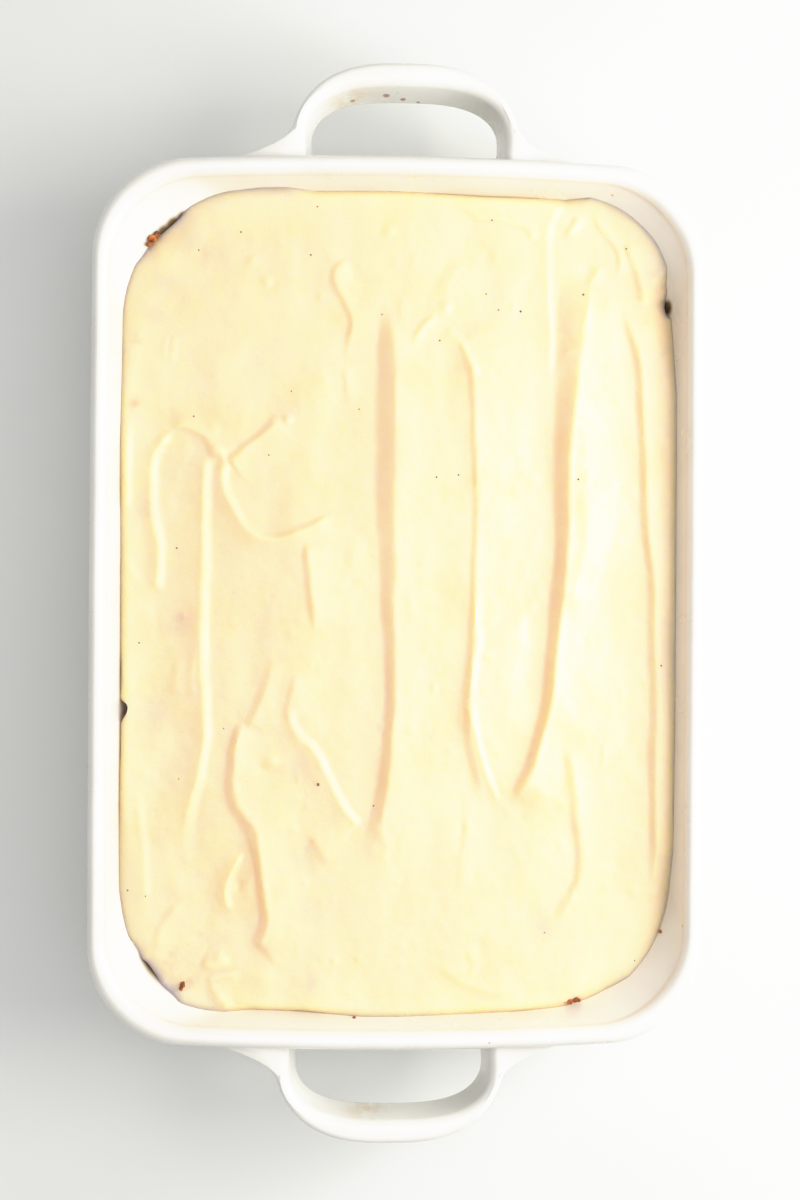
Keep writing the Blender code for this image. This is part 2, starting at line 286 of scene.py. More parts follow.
def fillet(distance):
    """How much a handle thickens where its clay is smoothed into the wall."""
    gap = max(0.0, HANDLE_FILLET - max(0.0, distance))
    return HANDLE_FILLET - math.sqrt(max(0.0, HANDLE_FILLET**2 - gap**2))


def handle_section(inner, outer):
    """A rounded section of the strap between its two plan curves, leaning out towards its top."""
    outward = (outer - inner).normalized()
    half_thickness = (outer - inner).length / 2
    section = []
    for quarter in range(4):
        out_side = (1, -1, -1, 1)[quarter]
        up_side = (1, 1, -1, -1)[quarter]
        for step in range(HANDLE_ROUND_STEPS + 1):
            turn = math.radians(90.0 * (quarter + step / HANDLE_ROUND_STEPS))
            out = half_thickness + (half_thickness - HANDLE_ROUND) * out_side
            out += HANDLE_ROUND * math.cos(turn)
            height = HANDLE_TOP - HANDLE_DEPTH / 2 + (HANDLE_DEPTH / 2 - HANDLE_ROUND) * up_side
            height += HANDLE_ROUND * math.sin(turn)
            lean = HANDLE_LEAN * (HANDLE_TOP - height) / HANDLE_DEPTH
            point = Vector((*(inner + outward * (out - lean)), height))
            if up_side < 0:
                point.z -= fillet(wall_distance(point))
            section.append(point)
    return section


def in_end_wall(point):
    """The point moved along Y to the middle of the end wall's thickness."""
    inset = (outer_inset(point.z) + inner_inset(point.z)) / 2
    x, y = bowed(point.x, half_sizes(inset)[1])
    return Vector((x, y, point.z))


def handle_sections():
    """The sections of the handle at +Y, from one root inside the wall to the other."""
    sections = []
    for step in range(HANDLE_STEPS + 1):
        turn = math.radians(-90.0 + 180.0 * step / HANDLE_STEPS)
        inner = across_handle(GAP_HALF_WIDTH, GAP_START, GAP_REACH, GAP_POWER, turn)
        outer = across_handle(GRIP_HALF_WIDTH, GRIP_START, GRIP_REACH, GRIP_POWER, turn)
        inner += (outer - inner).normalized() * HANDLE_LEAN
        outer.x += math.copysign(flare(outer.y), outer.x)
        sections.append(handle_section(inner, outer))
    first = [in_end_wall(point) for point in sections[0]]
    last = [in_end_wall(point) for point in sections[-1]]
    return [first, *sections, last]


profile = outside_profile() + rim_profile() + inside_profile()
dish = start_ring("stoneware_dish", ring(*profile[0]))
extrude_rings([ring(*place) for place in profile[1:]])
close_ends(inset=0.003)
for turn in (0.0, math.pi):
    place = Matrix.Rotation(turn, 4, "Z") @ Matrix.Translation((HANDLE_OFFSET, 0.0, 0.0))
    sections = [[place @ point for point in section] for section in handle_sections()]
    handle = start_ring("handle", sections[0])
    extrude_rings(sections[1:])
    close_ends(inset=0.001)
    join = dish.modifiers.new("join_handle", "BOOLEAN")
    join.operation = "UNION"
    join.object = handle
    bpy.context.view_layer.objects.active = dish
    bpy.ops.object.modifier_apply(modifier=join.name)
    bpy.data.objects.remove(handle)


class Wire:
    """A node's output in a material's tree; its arithmetic adds Math nodes."""

    def __init__(self, tree, output=None):
        self.tree = tree
        self.output = output

    def node(self, kind, settings=None, sockets=None, output=0):
        """Adds a node, with its settings and stops, and with values or wires in its sockets."""
        made = self.tree.nodes.new(kind)
        for name, value in (settings or {}).items():
            if name == "stops":
                for stop, (position, colour) in zip(ramp_stops(made, len(value)), value):
                    stop.position = position
                    stop.color = colour
            else:
                setattr(made, name, value)
        for key, value in (sockets or {}).items():
            if isinstance(value, Wire):
                self.tree.links.new(value.output, made.inputs[key])
            else:
                made.inputs[key].default_value = value
        return Wire(self.tree, made.outputs[output])

    def math(self, operation, first, second):
        """Adds a Math node; either side may be a plain number."""
        return self.node("ShaderNodeMath", {"operation": operation}, {0: first, 1: second})

    def __add__(self, other):
        return self.math("ADD", self, other)

    def __radd__(self, other):
        return self.math("ADD", other, self)

    def __sub__(self, other):
        return self.math("SUBTRACT", self, other)

    def __rsub__(self, other):
        return self.math("SUBTRACT", other, self)

    def __mul__(self, other):
        return self.math("MULTIPLY", self, other)

    def __rmul__(self, other):
        return self.math("MULTIPLY", other, self)


def ramp_stops(ramp, count):
    """A colour ramp's stops, once it has as many as are wanted."""
    stops = ramp.color_ramp.elements
    while len(stops) < count:
        stops.new(1.0)
    return stops


def new_material(name, constants):
    """A Principled material with its plain values set; gives a wire to build from, and its shader."""
    made = bpy.data.materials.new(name)
    made.use_nodes = True
    shader = made.node_tree.nodes["Principled BSDF"]
    for socket, value in constants.items():
        shader.inputs[socket].default_value = value
    return made, Wire(made.node_tree), shader


def feed(shader, socket, wire):
    """Joins a wire to a socket of the shader."""
    wire.tree.links.new(wire.output, shader.inputs[socket])


def object_place(wire):
    """A point's place on its object, in metres."""
    return wire.node("ShaderNodeTexCoord", output=3)


def grain(wire, place, scale, detail=3.0, roughness=0.5):
    """Noise between 0 and 1; scale is in waves to the metre."""
    sockets = {"Vector": place, "Scale": scale, "Detail": detail, "Roughness": roughness}
    return wire.node("ShaderNodeTexNoise", sockets=sockets)


def between(wire, value, low, high):
    """0 where a value is at low or below, 1 where it is at high or above, smooth between them."""
    sockets = {0: value, 1: low, 2: high, 3: 0.0, 4: 1.0}
    return wire.node("ShaderNodeMapRange", {"interpolation_type": "SMOOTHSTEP"}, sockets)


def blend_colours(wire, share, first, second):
    """The first colour where the share is 0 and the second where it is 1."""
    sockets = {0: share, 6: first, 7: second}
    return wire.node("ShaderNodeMix", {"data_type": "RGBA"}, sockets, output=2)


def near(wire, place, middle, reach):
    """1 at a point, falling to 0 at a distance of reach from it."""
    sockets = {0: place, 1: middle}
    distance = wire.node("ShaderNodeVectorMath", {"operation": "DISTANCE"}, sockets, output=1)
    return 1.0 - between(wire, distance, 0.0, reach)


def bump(wire, height, distance, strength=1.0):
    """A normal that shows a height as relief, distance deep."""
    sockets = {"Height": height, "Distance": distance, "Strength": strength}
    return wire.node("ShaderNodeBump", sockets=sockets)


GLAZE_WHITE = (0.81, 0.80, 0.745, 1.0)
GLAZE_WARM = (0.77, 0.75, 0.68, 1.0)
BARE_CLAY = (0.62, 0.52, 0.40, 1.0)
STAIN_TAN = (0.68, 0.52, 0.33, 1.0)
STAIN_BROWN = (0.30, 0.13, 0.04, 1.0)
CREAM_SMEAR = (0.90, 0.74, 0.42, 1.0)
# Marks on the glaze, in metres: place and reach.
TAN_WASHES = (((-0.020, 0.2060, 0.046), 0.016), ((-0.012, -0.2060, 0.046), 0.014))
BAKED_SPOTS = (
    ((-0.0058, 0.2075, 0.048), 0.0030),
    ((-0.0012, 0.2085, 0.050), 0.0022),
    ((0.0012, 0.2070, 0.045), 0.0026),
    ((-0.0195, 0.2055, 0.046), 0.0020),
    ((0.0075, 0.2068, 0.043), 0.0022),
    ((-0.0085, 0.2072, 0.044), 0.0016),
)
RIM_SPOTS = (((-0.1178, -0.1475, 0.0640), 0.0012), ((0.0375, -0.1752, 0.0645), 0.0012))
OIL_SPOTS = (
    ((0.0859, 0.1657, 0.0560), 0.0014),
    ((0.1160, -0.1296, 0.0600), 0.0014),
    ((0.1135, -0.1528, 0.0600), 0.0012),
)
OIL_ORANGE = (0.80, 0.40, 0.12, 1.0)
# Painted shade: dark brown on the wall that fades out upwards, where the food stands off from it and the
# gap lies in shadow.
GAP_SHADE_SPOTS = (
    ((-0.1015, -0.1455, 0.0445), 0.0060),
    ((-0.0985, -0.1485, 0.0445), 0.0078),
    ((-0.0950, -0.1515, 0.0445), 0.0084),
    ((-0.0915, -0.1548, 0.0445), 0.0080),
    ((-0.0885, -0.1572, 0.0455), 0.0066),
    ((-0.0995, 0.1470, 0.0445), 0.0056),
    ((-0.0963, 0.1504, 0.0445), 0.0060),
    ((-0.0923, 0.1540, 0.0445), 0.0058),
    ((-0.0885, 0.1571, 0.0445), 0.0050),
    ((0.1112, 0.1226, 0.0450), 0.0052),
)
GAP_SHADE_BROWN = (0.110, 0.068, 0.022, 1.0)
SMEARS = (((0.0060, 0.1740, 0.0600), 0.0060),)


def make_stoneware():
    """White stoneware under a clear glaze: faint mottling, a bare foot, baked-on marks, and painted shade
    on the wall in the gaps beside the food.
    """
    constants = {"Roughness": 0.24, "Coat Weight": 0.7, "Coat Roughness": 0.05, "IOR": 1.5}
    made, wire, shader = new_material("glazed_stoneware", constants)
    place = object_place(wire)
    mottle = between(wire, grain(wire, place, 34.0, 4.0), 0.35, 0.70)
    colour = blend_colours(wire, mottle, GLAZE_WHITE, GLAZE_WARM)
    ragged = grain(wire, place, 520.0, 4.0, 0.65)
    for middle, reach in TAN_WASHES:
        uneven = between(wire, grain(wire, place, 190.0, 4.0), 0.40, 0.62)
        wash = near(wire, place, middle, reach) * uneven
        colour = blend_colours(wire, wash * 0.55, colour, STAIN_TAN)
    for middle, reach in BAKED_SPOTS + RIM_SPOTS:
        spot = between(wire, near(wire, place, middle, reach) + 0.5 * ragged, 0.62, 0.90)
        colour = blend_colours(wire, spot * 0.8, colour, STAIN_BROWN)
    # Painted shade in the gaps between the food and the wall.
    for middle, reach in GAP_SHADE_SPOTS:
        gap_shade = between(wire, near(wire, place, middle, reach), 0.0, 0.75)
        colour = blend_colours(wire, gap_shade, colour, GAP_SHADE_BROWN)
    for middle, reach in OIL_SPOTS:
        drop = between(wire, near(wire, place, middle, reach), 0.3, 0.8)
        colour = blend_colours(wire, drop * 0.8, colour, OIL_ORANGE)
    for middle, reach in SMEARS:
        smear = between(wire, near(wire, place, middle, reach) + 0.6 * ragged, 0.60, 0.85)
        colour = blend_colours(wire, smear * 0.8, colour, CREAM_SMEAR)
    height = wire.node("ShaderNodeSeparateXYZ", sockets={0: place}, output=2)
    bare = 1.0 - between(wire, height + 0.0006 * ragged, 0.0005, 0.0012)
    feed(shader, "Base Color", blend_colours(wire, bare, colour, BARE_CLAY))
    feed(shader, "Roughness", 0.20 + 0.10 * mottle + 0.5 * bare)
    feed(shader, "Normal", bump(wire, grain(wire, place, 46.0, 2.0), 0.0004))
    return made


dish.data.materials.clear()
dish.data.materials.append(make_stoneware())
bpy.ops.object.select_all(action="DESELECT")
dish.select_set(True)
bpy.context.view_layer.objects.active = dish
bpy.ops.object.shade_smooth_by_angle(angle=math.radians(38.0))
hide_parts("dish")
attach(dish, "root")


# Meat sauce. Minced meat cooked down in tomato, spooned onto the dish's floor as the lowest layer. Its
# top is lumpy with mince, and it shows only as brown and orange bits in the gaps at the dish's wall.

WALL_GAP = 0.0005
LAYER_GAP = 0.0003
SAUCE_TOP = 0.0345
SAUCE_LUMP = 0.0014


def smooth_step(value):
    """0 below 0 and 1 above 1, with a smooth rise between them."""
    held = np.clip(value, 0.0, 1.0)
    return held * held * (3.0 - 2.0 * held)


def fit_to_dish(across, along, height, wall_gap=WALL_GAP):
    """Plan places of grid points, given as shares from -1 to 1, so that the grid fills the dish."""
    reach = np.maximum(np.abs(across), np.abs(along))
    safe = np.maximum(reach, 1e-6)
    inset = inner_inset(height) + wall_gap
    half_width, half_length = half_sizes(inset)
    corner = inner_corner(height)
    x = half_width * across / safe
    y = half_length * along / safe
    past_x = np.maximum(np.abs(x) - half_width + corner, 0.0)
    past_y = np.maximum(np.abs(y) - half_length + corner, 0.0)
    rounded = (past_x > 0.0) & (past_y > 0.0)
    from_corner = np.maximum(np.hypot(past_x, past_y), 1e-9)
    shrink = np.where(rounded, np.maximum(past_x, past_y) / from_corner, 1.0)
    x = np.where(rounded, np.sign(x) * (half_width - corner + past_x * shrink), x)
    y = np.where(rounded, np.sign(y) * (half_length - corner + past_y * shrink), y)
    side_share = smooth_step(np.abs(x) / (0.5 * half_width))
    end_share = smooth_step(np.abs(y) / (0.5 * half_length))
    x = x - np.sign(x) * side_share * LONG_SIDE_BOW * (y / RIM_HALF_LENGTH) ** 2
    y = y - np.sign(y) * end_share * SHORT_SIDE_BOW * (x / RIM_HALF_WIDTH) ** 2
    return x * reach, y * reach


def vertex_places(mesh):
    """The places of a mesh's vertices as a numpy array."""
    places = np.empty(len(mesh.vertices) * 3)
    mesh.vertices.foreach_get("co", places)
    return places.reshape(-1, 3)


def food_layer(name, columns, rows, surface, sides):
    """A layer of food: a grid laid over the surface, with the rings of its sides extruded from it."""
    bpy.ops.object.select_all(action="DESELECT")
    bpy.ops.mesh.primitive_grid_add(x_subdivisions=columns, y_subdivisions=rows, size=2)
    layer = bpy.context.object
    layer.name = name
    layer.data.name = name
    shares = vertex_places(layer.data)
    top = np.stack(surface(shares[:, 0], shares[:, 1]), axis=1)
    bpy.ops.object.mode_set(mode="EDIT")
    bpy.ops.mesh.select_all(action="SELECT")
    number_points()
    lay_ring([Vector(place) for place in top])
    bpy.ops.mesh.select_all(action="DESELECT")
    bpy.ops.mesh.select_non_manifold(extend=False)
    for places in sides(shares[:, 0], shares[:, 1], top):
        bpy.ops.mesh.extrude_region_move()
        lay_ring([Vector(place) for place in zip(*places)])
    bpy.ops.mesh.edge_face_add()
    bpy.ops.mesh.select_all(action="SELECT")
    bpy.ops.mesh.normals_make_consistent(inside=False)
    bpy.ops.object.mode_set(mode="OBJECT")
    bpy.ops.object.shade_smooth_by_angle(angle=math.radians(60.0))
    return layer


def lumps(x, y, scale, seed):
    """Smooth noise between about -1 and 1 at many places; scale is in waves to the metre."""
    return np.array([noise.noise(Vector((a * scale, b * scale, seed))) for a, b in zip(x, y)])


def sauce_surface(across, along):
    """The lumpy top of the meat sauce."""
    x, y = fit_to_dish(across, along, SAUCE_TOP)
    rough = np.abs(lumps(x, y, 170.0, 4.1)) + 0.5 * np.abs(lumps(x, y, 390.0, 8.7))
    return x, y, SAUCE_TOP - SAUCE_LUMP * (1.0 - rough)


def sauce_sides(across, along, top):
    """The sauce's sides, down the wall and round the cove to the dish's floor."""
    cove_top = FLOOR_THICKNESS + COVE_HEIGHT
    for height in (SAUCE_TOP - 0.004, 0.026, cove_top):
        yield (*fit_to_dish(across, along, height), np.full(len(across), height))
    for step in range(1, 7):
        turn = math.radians(90.0 * step / 6)
        extra = WALL_GAP + COVE_WIDTH * (1.0 - math.cos(turn))
        height = cove_top - COVE_HEIGHT * math.sin(turn) + LAYER_GAP
        yield (*fit_to_dish(across, along, cove_top, extra), np.full(len(across), height))


MINCE_SHADES = (
    (0.30, (0.06, 0.016, 0.005, 1.0)),
    (0.48, (0.27, 0.070, 0.010, 1.0)),
    (0.66, (0.66, 0.20, 0.025, 1.0)),
)


def make_mince():
    """Cooked mince in tomato: brown grains in a redder, oily sauce."""
    constants = {"Subsurface Weight": 0.15, "Subsurface Radius": (0.004, 0.0015, 0.0008)}
    made, wire, shader = new_material("cooked_mince", constants)
    place = object_place(wire)
    clumps = grain(wire, place, 260.0, 4.0, 0.6)
    ramp = wire.node("ShaderNodeValToRGB", {"stops": MINCE_SHADES}, {0: clumps})
    feed(shader, "Base Color", ramp)
    feed(shader, "Roughness", 0.28 + 0.35 * clumps)
    feed(shader, "Normal", bump(wire, grain(wire, place, 900.0, 4.0, 0.6), 0.0006))
    return made


sauce = food_layer("mince_in_sauce", 110, 160, sauce_surface, sauce_sides)
mince = make_mince()
sauce.data.materials.append(mince)
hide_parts("meat_sauce")
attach(sauce, "root")


# Aubergine. Slices cut across, fried in oil until soft, and laid side by side on the meat sauce. Each
# keeps a rim of dark skin, and those along the wall are pressed against it.

AUBERGINE_TOP = 0.0425
SLICE_COLUMNS = 4
SLICE_ROWS = 6
SLICE_POINTS = 48
SLICE_ROUND = 0.0018
SLICE_EDGE_STEPS = 8


def press_to_wall(x, y, height):
    """A point of a slice, brought inside the dish where it would reach into the wall."""
    half_width, half_length = half_sizes(inner_inset(height) + WALL_GAP)
    corner = inner_corner(height)
    x = max(-half_width, min(half_width, x))
    half_length -= SHORT_SIDE_BOW * (x / RIM_HALF_WIDTH) ** 2
    y = max(-half_length, min(half_length, y))
    past = Vector((abs(x) - half_width + corner, abs(y) - half_length + corner))
    if past.x > 0 and past.y > 0 and past.length > corner:
        past *= corner / past.length
        x = math.copysign(half_width - corner + past.x, x)
        y = math.copysign(half_length - corner + past.y, y)
    return x, y


def slice_ring(middle, radius, height, seed):
    """An uneven round outline of a slice at one height."""
    points = []
    for step in range(SLICE_POINTS):
        turn = 2.0 * math.pi * step / SLICE_POINTS
        out = Vector((math.cos(turn), math.sin(turn)))
        uneven = 1.0 + 0.05 * noise.noise(Vector((out.x * 1.4, out.y * 1.4, seed)))
        x, y = press_to_wall(*(middle + out * radius * uneven), height)
        points.append(Vector((x, y, height)))
    return points


def make_slice(middle, radius, number):
    """One slice with rounded edges and flat faces."""
    bottom = SAUCE_TOP + LAYER_GAP
    middle_height = (bottom + AUBERGINE_TOP) / 2
    half = (AUBERGINE_TOP - bottom) / 2
    rings = []
    for step in range(SLICE_EDGE_STEPS + 1):
        turn = math.radians(-90.0 + 180.0 * step / SLICE_EDGE_STEPS)
        height = middle_height + half * math.sin(turn)
        inward = SLICE_ROUND * (1.0 - math.cos(turn))
        rings.append(slice_ring(middle, radius - inward, height, number * 3.7))
    made = start_ring("slice", rings[0])
    extrude_rings(rings[1:])
    close_ends(inset=0.002)
    return made


FLESH_BROWN = (0.12, 0.065, 0.02, 1.0)
FLESH_OLIVE = (0.34, 0.22, 0.08, 1.0)
SKIN_BLACK = (0.018, 0.012, 0.014, 1.0)


def make_aubergine():
    """Fried flesh between olive and brown, and almost black skin round the slice."""
    constants = {"Subsurface Weight": 0.1, "Subsurface Radius": (0.003, 0.002, 0.001)}
    made, wire, shader = new_material("fried_aubergine", constants)
    place = object_place(wire)
    facing = wire.node("ShaderNodeNewGeometry", output=1)
    up = wire.node("ShaderNodeSeparateXYZ", sockets={0: facing}, output=2)
    flesh = blend_colours(wire, grain(wire, place, 150.0, 5.0), FLESH_BROWN, FLESH_OLIVE)
    skin = 1.0 - between(wire, up * up, 0.10, 0.45)
    feed(shader, "Base Color", blend_colours(wire, skin, flesh, SKIN_BLACK))
    feed(shader, "Roughness", 0.25 + 0.25 * grain(wire, place, 420.0))
    feed(shader, "Normal", bump(wire, grain(wire, place, 520.0, 4.0, 0.6), 0.0005))
    return made


def join_pieces(name, pieces):
    """Makes one object of several."""
    bpy.ops.object.select_all(action="DESELECT")
    for piece in pieces:
        piece.select_set(True)
    bpy.context.view_layer.objects.active = pieces[0]
    bpy.ops.object.join()
    joined = bpy.context.object
    joined.name = name
    joined.data.name = name
    return joined


layer_width, layer_length = half_sizes(inner_inset(AUBERGINE_TOP))
slices = []
for row in range(SLICE_ROWS):
    for column in range(SLICE_COLUMNS):
        middle = Vector(
            (
                layer_width * (2 * column + 1 - SLICE_COLUMNS) / SLICE_COLUMNS,
                layer_length * (2 * row + 1 - SLICE_ROWS) / SLICE_ROWS,
            )
        )
        slices.append(make_slice(middle, layer_width / SLICE_COLUMNS - LAYER_GAP, len(slices)))
aubergine = join_pieces("aubergine_slices", slices)
aubergine.data.materials.append(make_aubergine())
bpy.ops.object.shade_smooth_by_angle(angle=math.radians(50.0))
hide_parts("aubergine")
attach(aubergine, "root")


# White sauce. A thick bechamel poured over the slices and spread with the back of a spoon, which leaves
# long troughs with a steep bank on one side. It is set but not baked, so every stroke and bubble shows.
# It runs down to the wall, and in the corners and at the left the layers under it can be seen.

CREAM_TOP = 0.0512
CREAM_COLUMNS = 238
CREAM_ROWS = 352
CREAM_BOTTOM = AUBERGINE_TOP + LAYER_GAP
CREAM_HALF_WIDTH = 0.113
CREAM_HALF_LENGTH = 0.167
MM = 0.001

# How high the sauce reaches on the wall, in millimetres: place on the edge and height.
EDGE_HEIGHTS = (
    ((112, 0), 52.0),
    ((112, 84), 51.8),
    ((110, 113), 47.0),
    ((110, 124), 46.0),
    ((109, 131), 47.5),
    ((110, 138), 50.8),
    ((106, 149), 51.8),
    ((91, 162), 51.8),
    ((78, 166), 51.5),
    ((68, 165), 47.0),
    ((35, 166), 46.3),
    ((0, 167), 48.4),
    ((-34, 167), 48.2),
    ((-46, 168), 51.8),
    ((-56, 168), 52.0),
    ((-66, 167), 50.0),
    ((-80, 163), 47.8),
    ((-89, 157), 46.8),
    ((-96, 150), 46.5),
    ((-104, 140), 46.6),
    ((-111, 122), 46.2),
    ((-112, 100), 46.4),
    ((-112, 66), 47.8),
    ((-112, 20), 46.0),
    ((-111, -20), 45.6),
    ((-111, -70), 45.6),
    ((-112, -100), 46.0),
    ((-110, -121), 45.6),
    ((-108, -134), 47.0),
    ((-102, -147), 48.8),
    ((-96, -156), 50.2),
    ((-90, -161), 51.4),
    ((-68, -165), 49.0),
    ((-58, -165), 46.2),
    ((-38, -165), 46.2),
    ((-14, -168), 50.4),
    ((2, -168), 50.4),
    ((50, -166), 47.6),
    ((72, -162), 45.6),
    ((86, -158), 45.6),
    ((97, -153), 47.4),
    ((104, -146), 47.2),
    ((110, -130), 46.8),
    ((112, -120), 47.2),
    ((113, -100), 51.2),
    ((113, -50), 52.0),
)
# Where its edge stands off from the wall, in millimetres: place, how far along it and how wide.
EDGE_GAPS = (
    ((-94, 152), 9, 1.7),
    ((-103, 143), 6, 1.2),
    ((111, 122.5), 4.5, 2.6),
    ((-100, -152), 8, 2.4),
    ((-93, -158), 6, 1.6),
    ((-106, -144), 6, 1.6),
    ((-110, -45), 4.5, 4.2),
    ((-111, -58), 9, 0.6),
    ((-111, -30), 9, 0.4),
)


LIP_WIDTH = 2.2


class Stroke:
    """One mark of the spoon, in millimetres.

    The points run along a steep bank that falls to their right. Rise is its height, widths its width
    from the first point to the last, and gentle the reach of the slope behind it. Fade is the share of
    the length over which each end dies out, and lip the share of the rise that is a narrow crest.
    """

    def __init__(self, points, rise, widths, gentle, fade=(0.3, 0.3), lip=0.3):
        self.line = smooth_line([Vector(point) for point in points])
        self.rise = rise
        self.widths = widths
        self.gentle = gentle
        self.fade = fade
        self.lip = lip

    def lift(self, x, y):
        """How much the stroke raises the sauce at places given in millimetres."""
        reach = 2.6 * self.gentle + max(self.widths)
        line_x = [point.x for point in self.line]
        line_y = [point.y for point in self.line]
        close = (x > min(line_x) - reach) & (x < max(line_x) + reach)
        close &= (y > min(line_y) - reach) & (y < max(line_y) + reach)
        raised = np.zeros(len(x))
        raised[close] = self.lift_near(x[close], y[close])
        return raised

    def lift_near(self, x, y):
        """The same, for places that are near the stroke."""
        nearest = np.full(len(x), 1e9)
        share = np.zeros(len(x))
        count = len(self.line) - 1
        for index, (start, end) in enumerate(zip(self.line, self.line[1:])):
            along = end - start
            run_x = x - start.x
            run_y = y - start.y
            part = np.clip((run_x * along.x + run_y * along.y) / along.length_squared, 0.0, 1.0)
            away_x = run_x - along.x * part
            away_y = run_y - along.y * part
            side = np.where(along.y * away_x - along.x * away_y < 0.0, -1.0, 1.0)
            distance = np.hypot(away_x, away_y) * side
            closer = np.abs(distance) < np.abs(nearest)
            nearest = np.where(closer, distance, nearest)
            share = np.where(closer, (index + part) / count, share)
        width = np.interp(share, np.linspace(0.0, 1.0, len(self.widths)), self.widths)
        climbed = 0.5 - nearest / width
        bank = 0.7 * np.clip(climbed, 0.0, 1.0) + 0.3 * smooth_step(climbed)
        behind = np.maximum(-nearest - width / 2, 0.0)
        crest = self.lip * np.exp(-behind / LIP_WIDTH)
        slope = (1.0 - self.lip) * np.exp(-((behind / self.gentle) ** 1.5))
        ends = smooth_step(share / self.fade[0]) * smooth_step((1.0 - share) / self.fade[1])
        return self.rise * ends * np.where(climbed < 1.0, bank, crest + slope)


def smooth_line(points):
    """A Catmull-Rom curve through the given points."""
    ends = [2 * points[0] - points[1], *points, 2 * points[-1] - points[-2]]
    line = []
    for before, start, end, after in zip(ends, ends[1:], ends[2:], ends[3:]):
        for step in range(3):
            t = step / 3
            bend = (2 * before - 5 * start + 4 * end - after) * t**2
            twist = (3 * start - before - 3 * end + after) * t**3
            line.append(start + 0.5 * ((end - before) * t + bend + twist))
    line.append(points[-1])
    return line


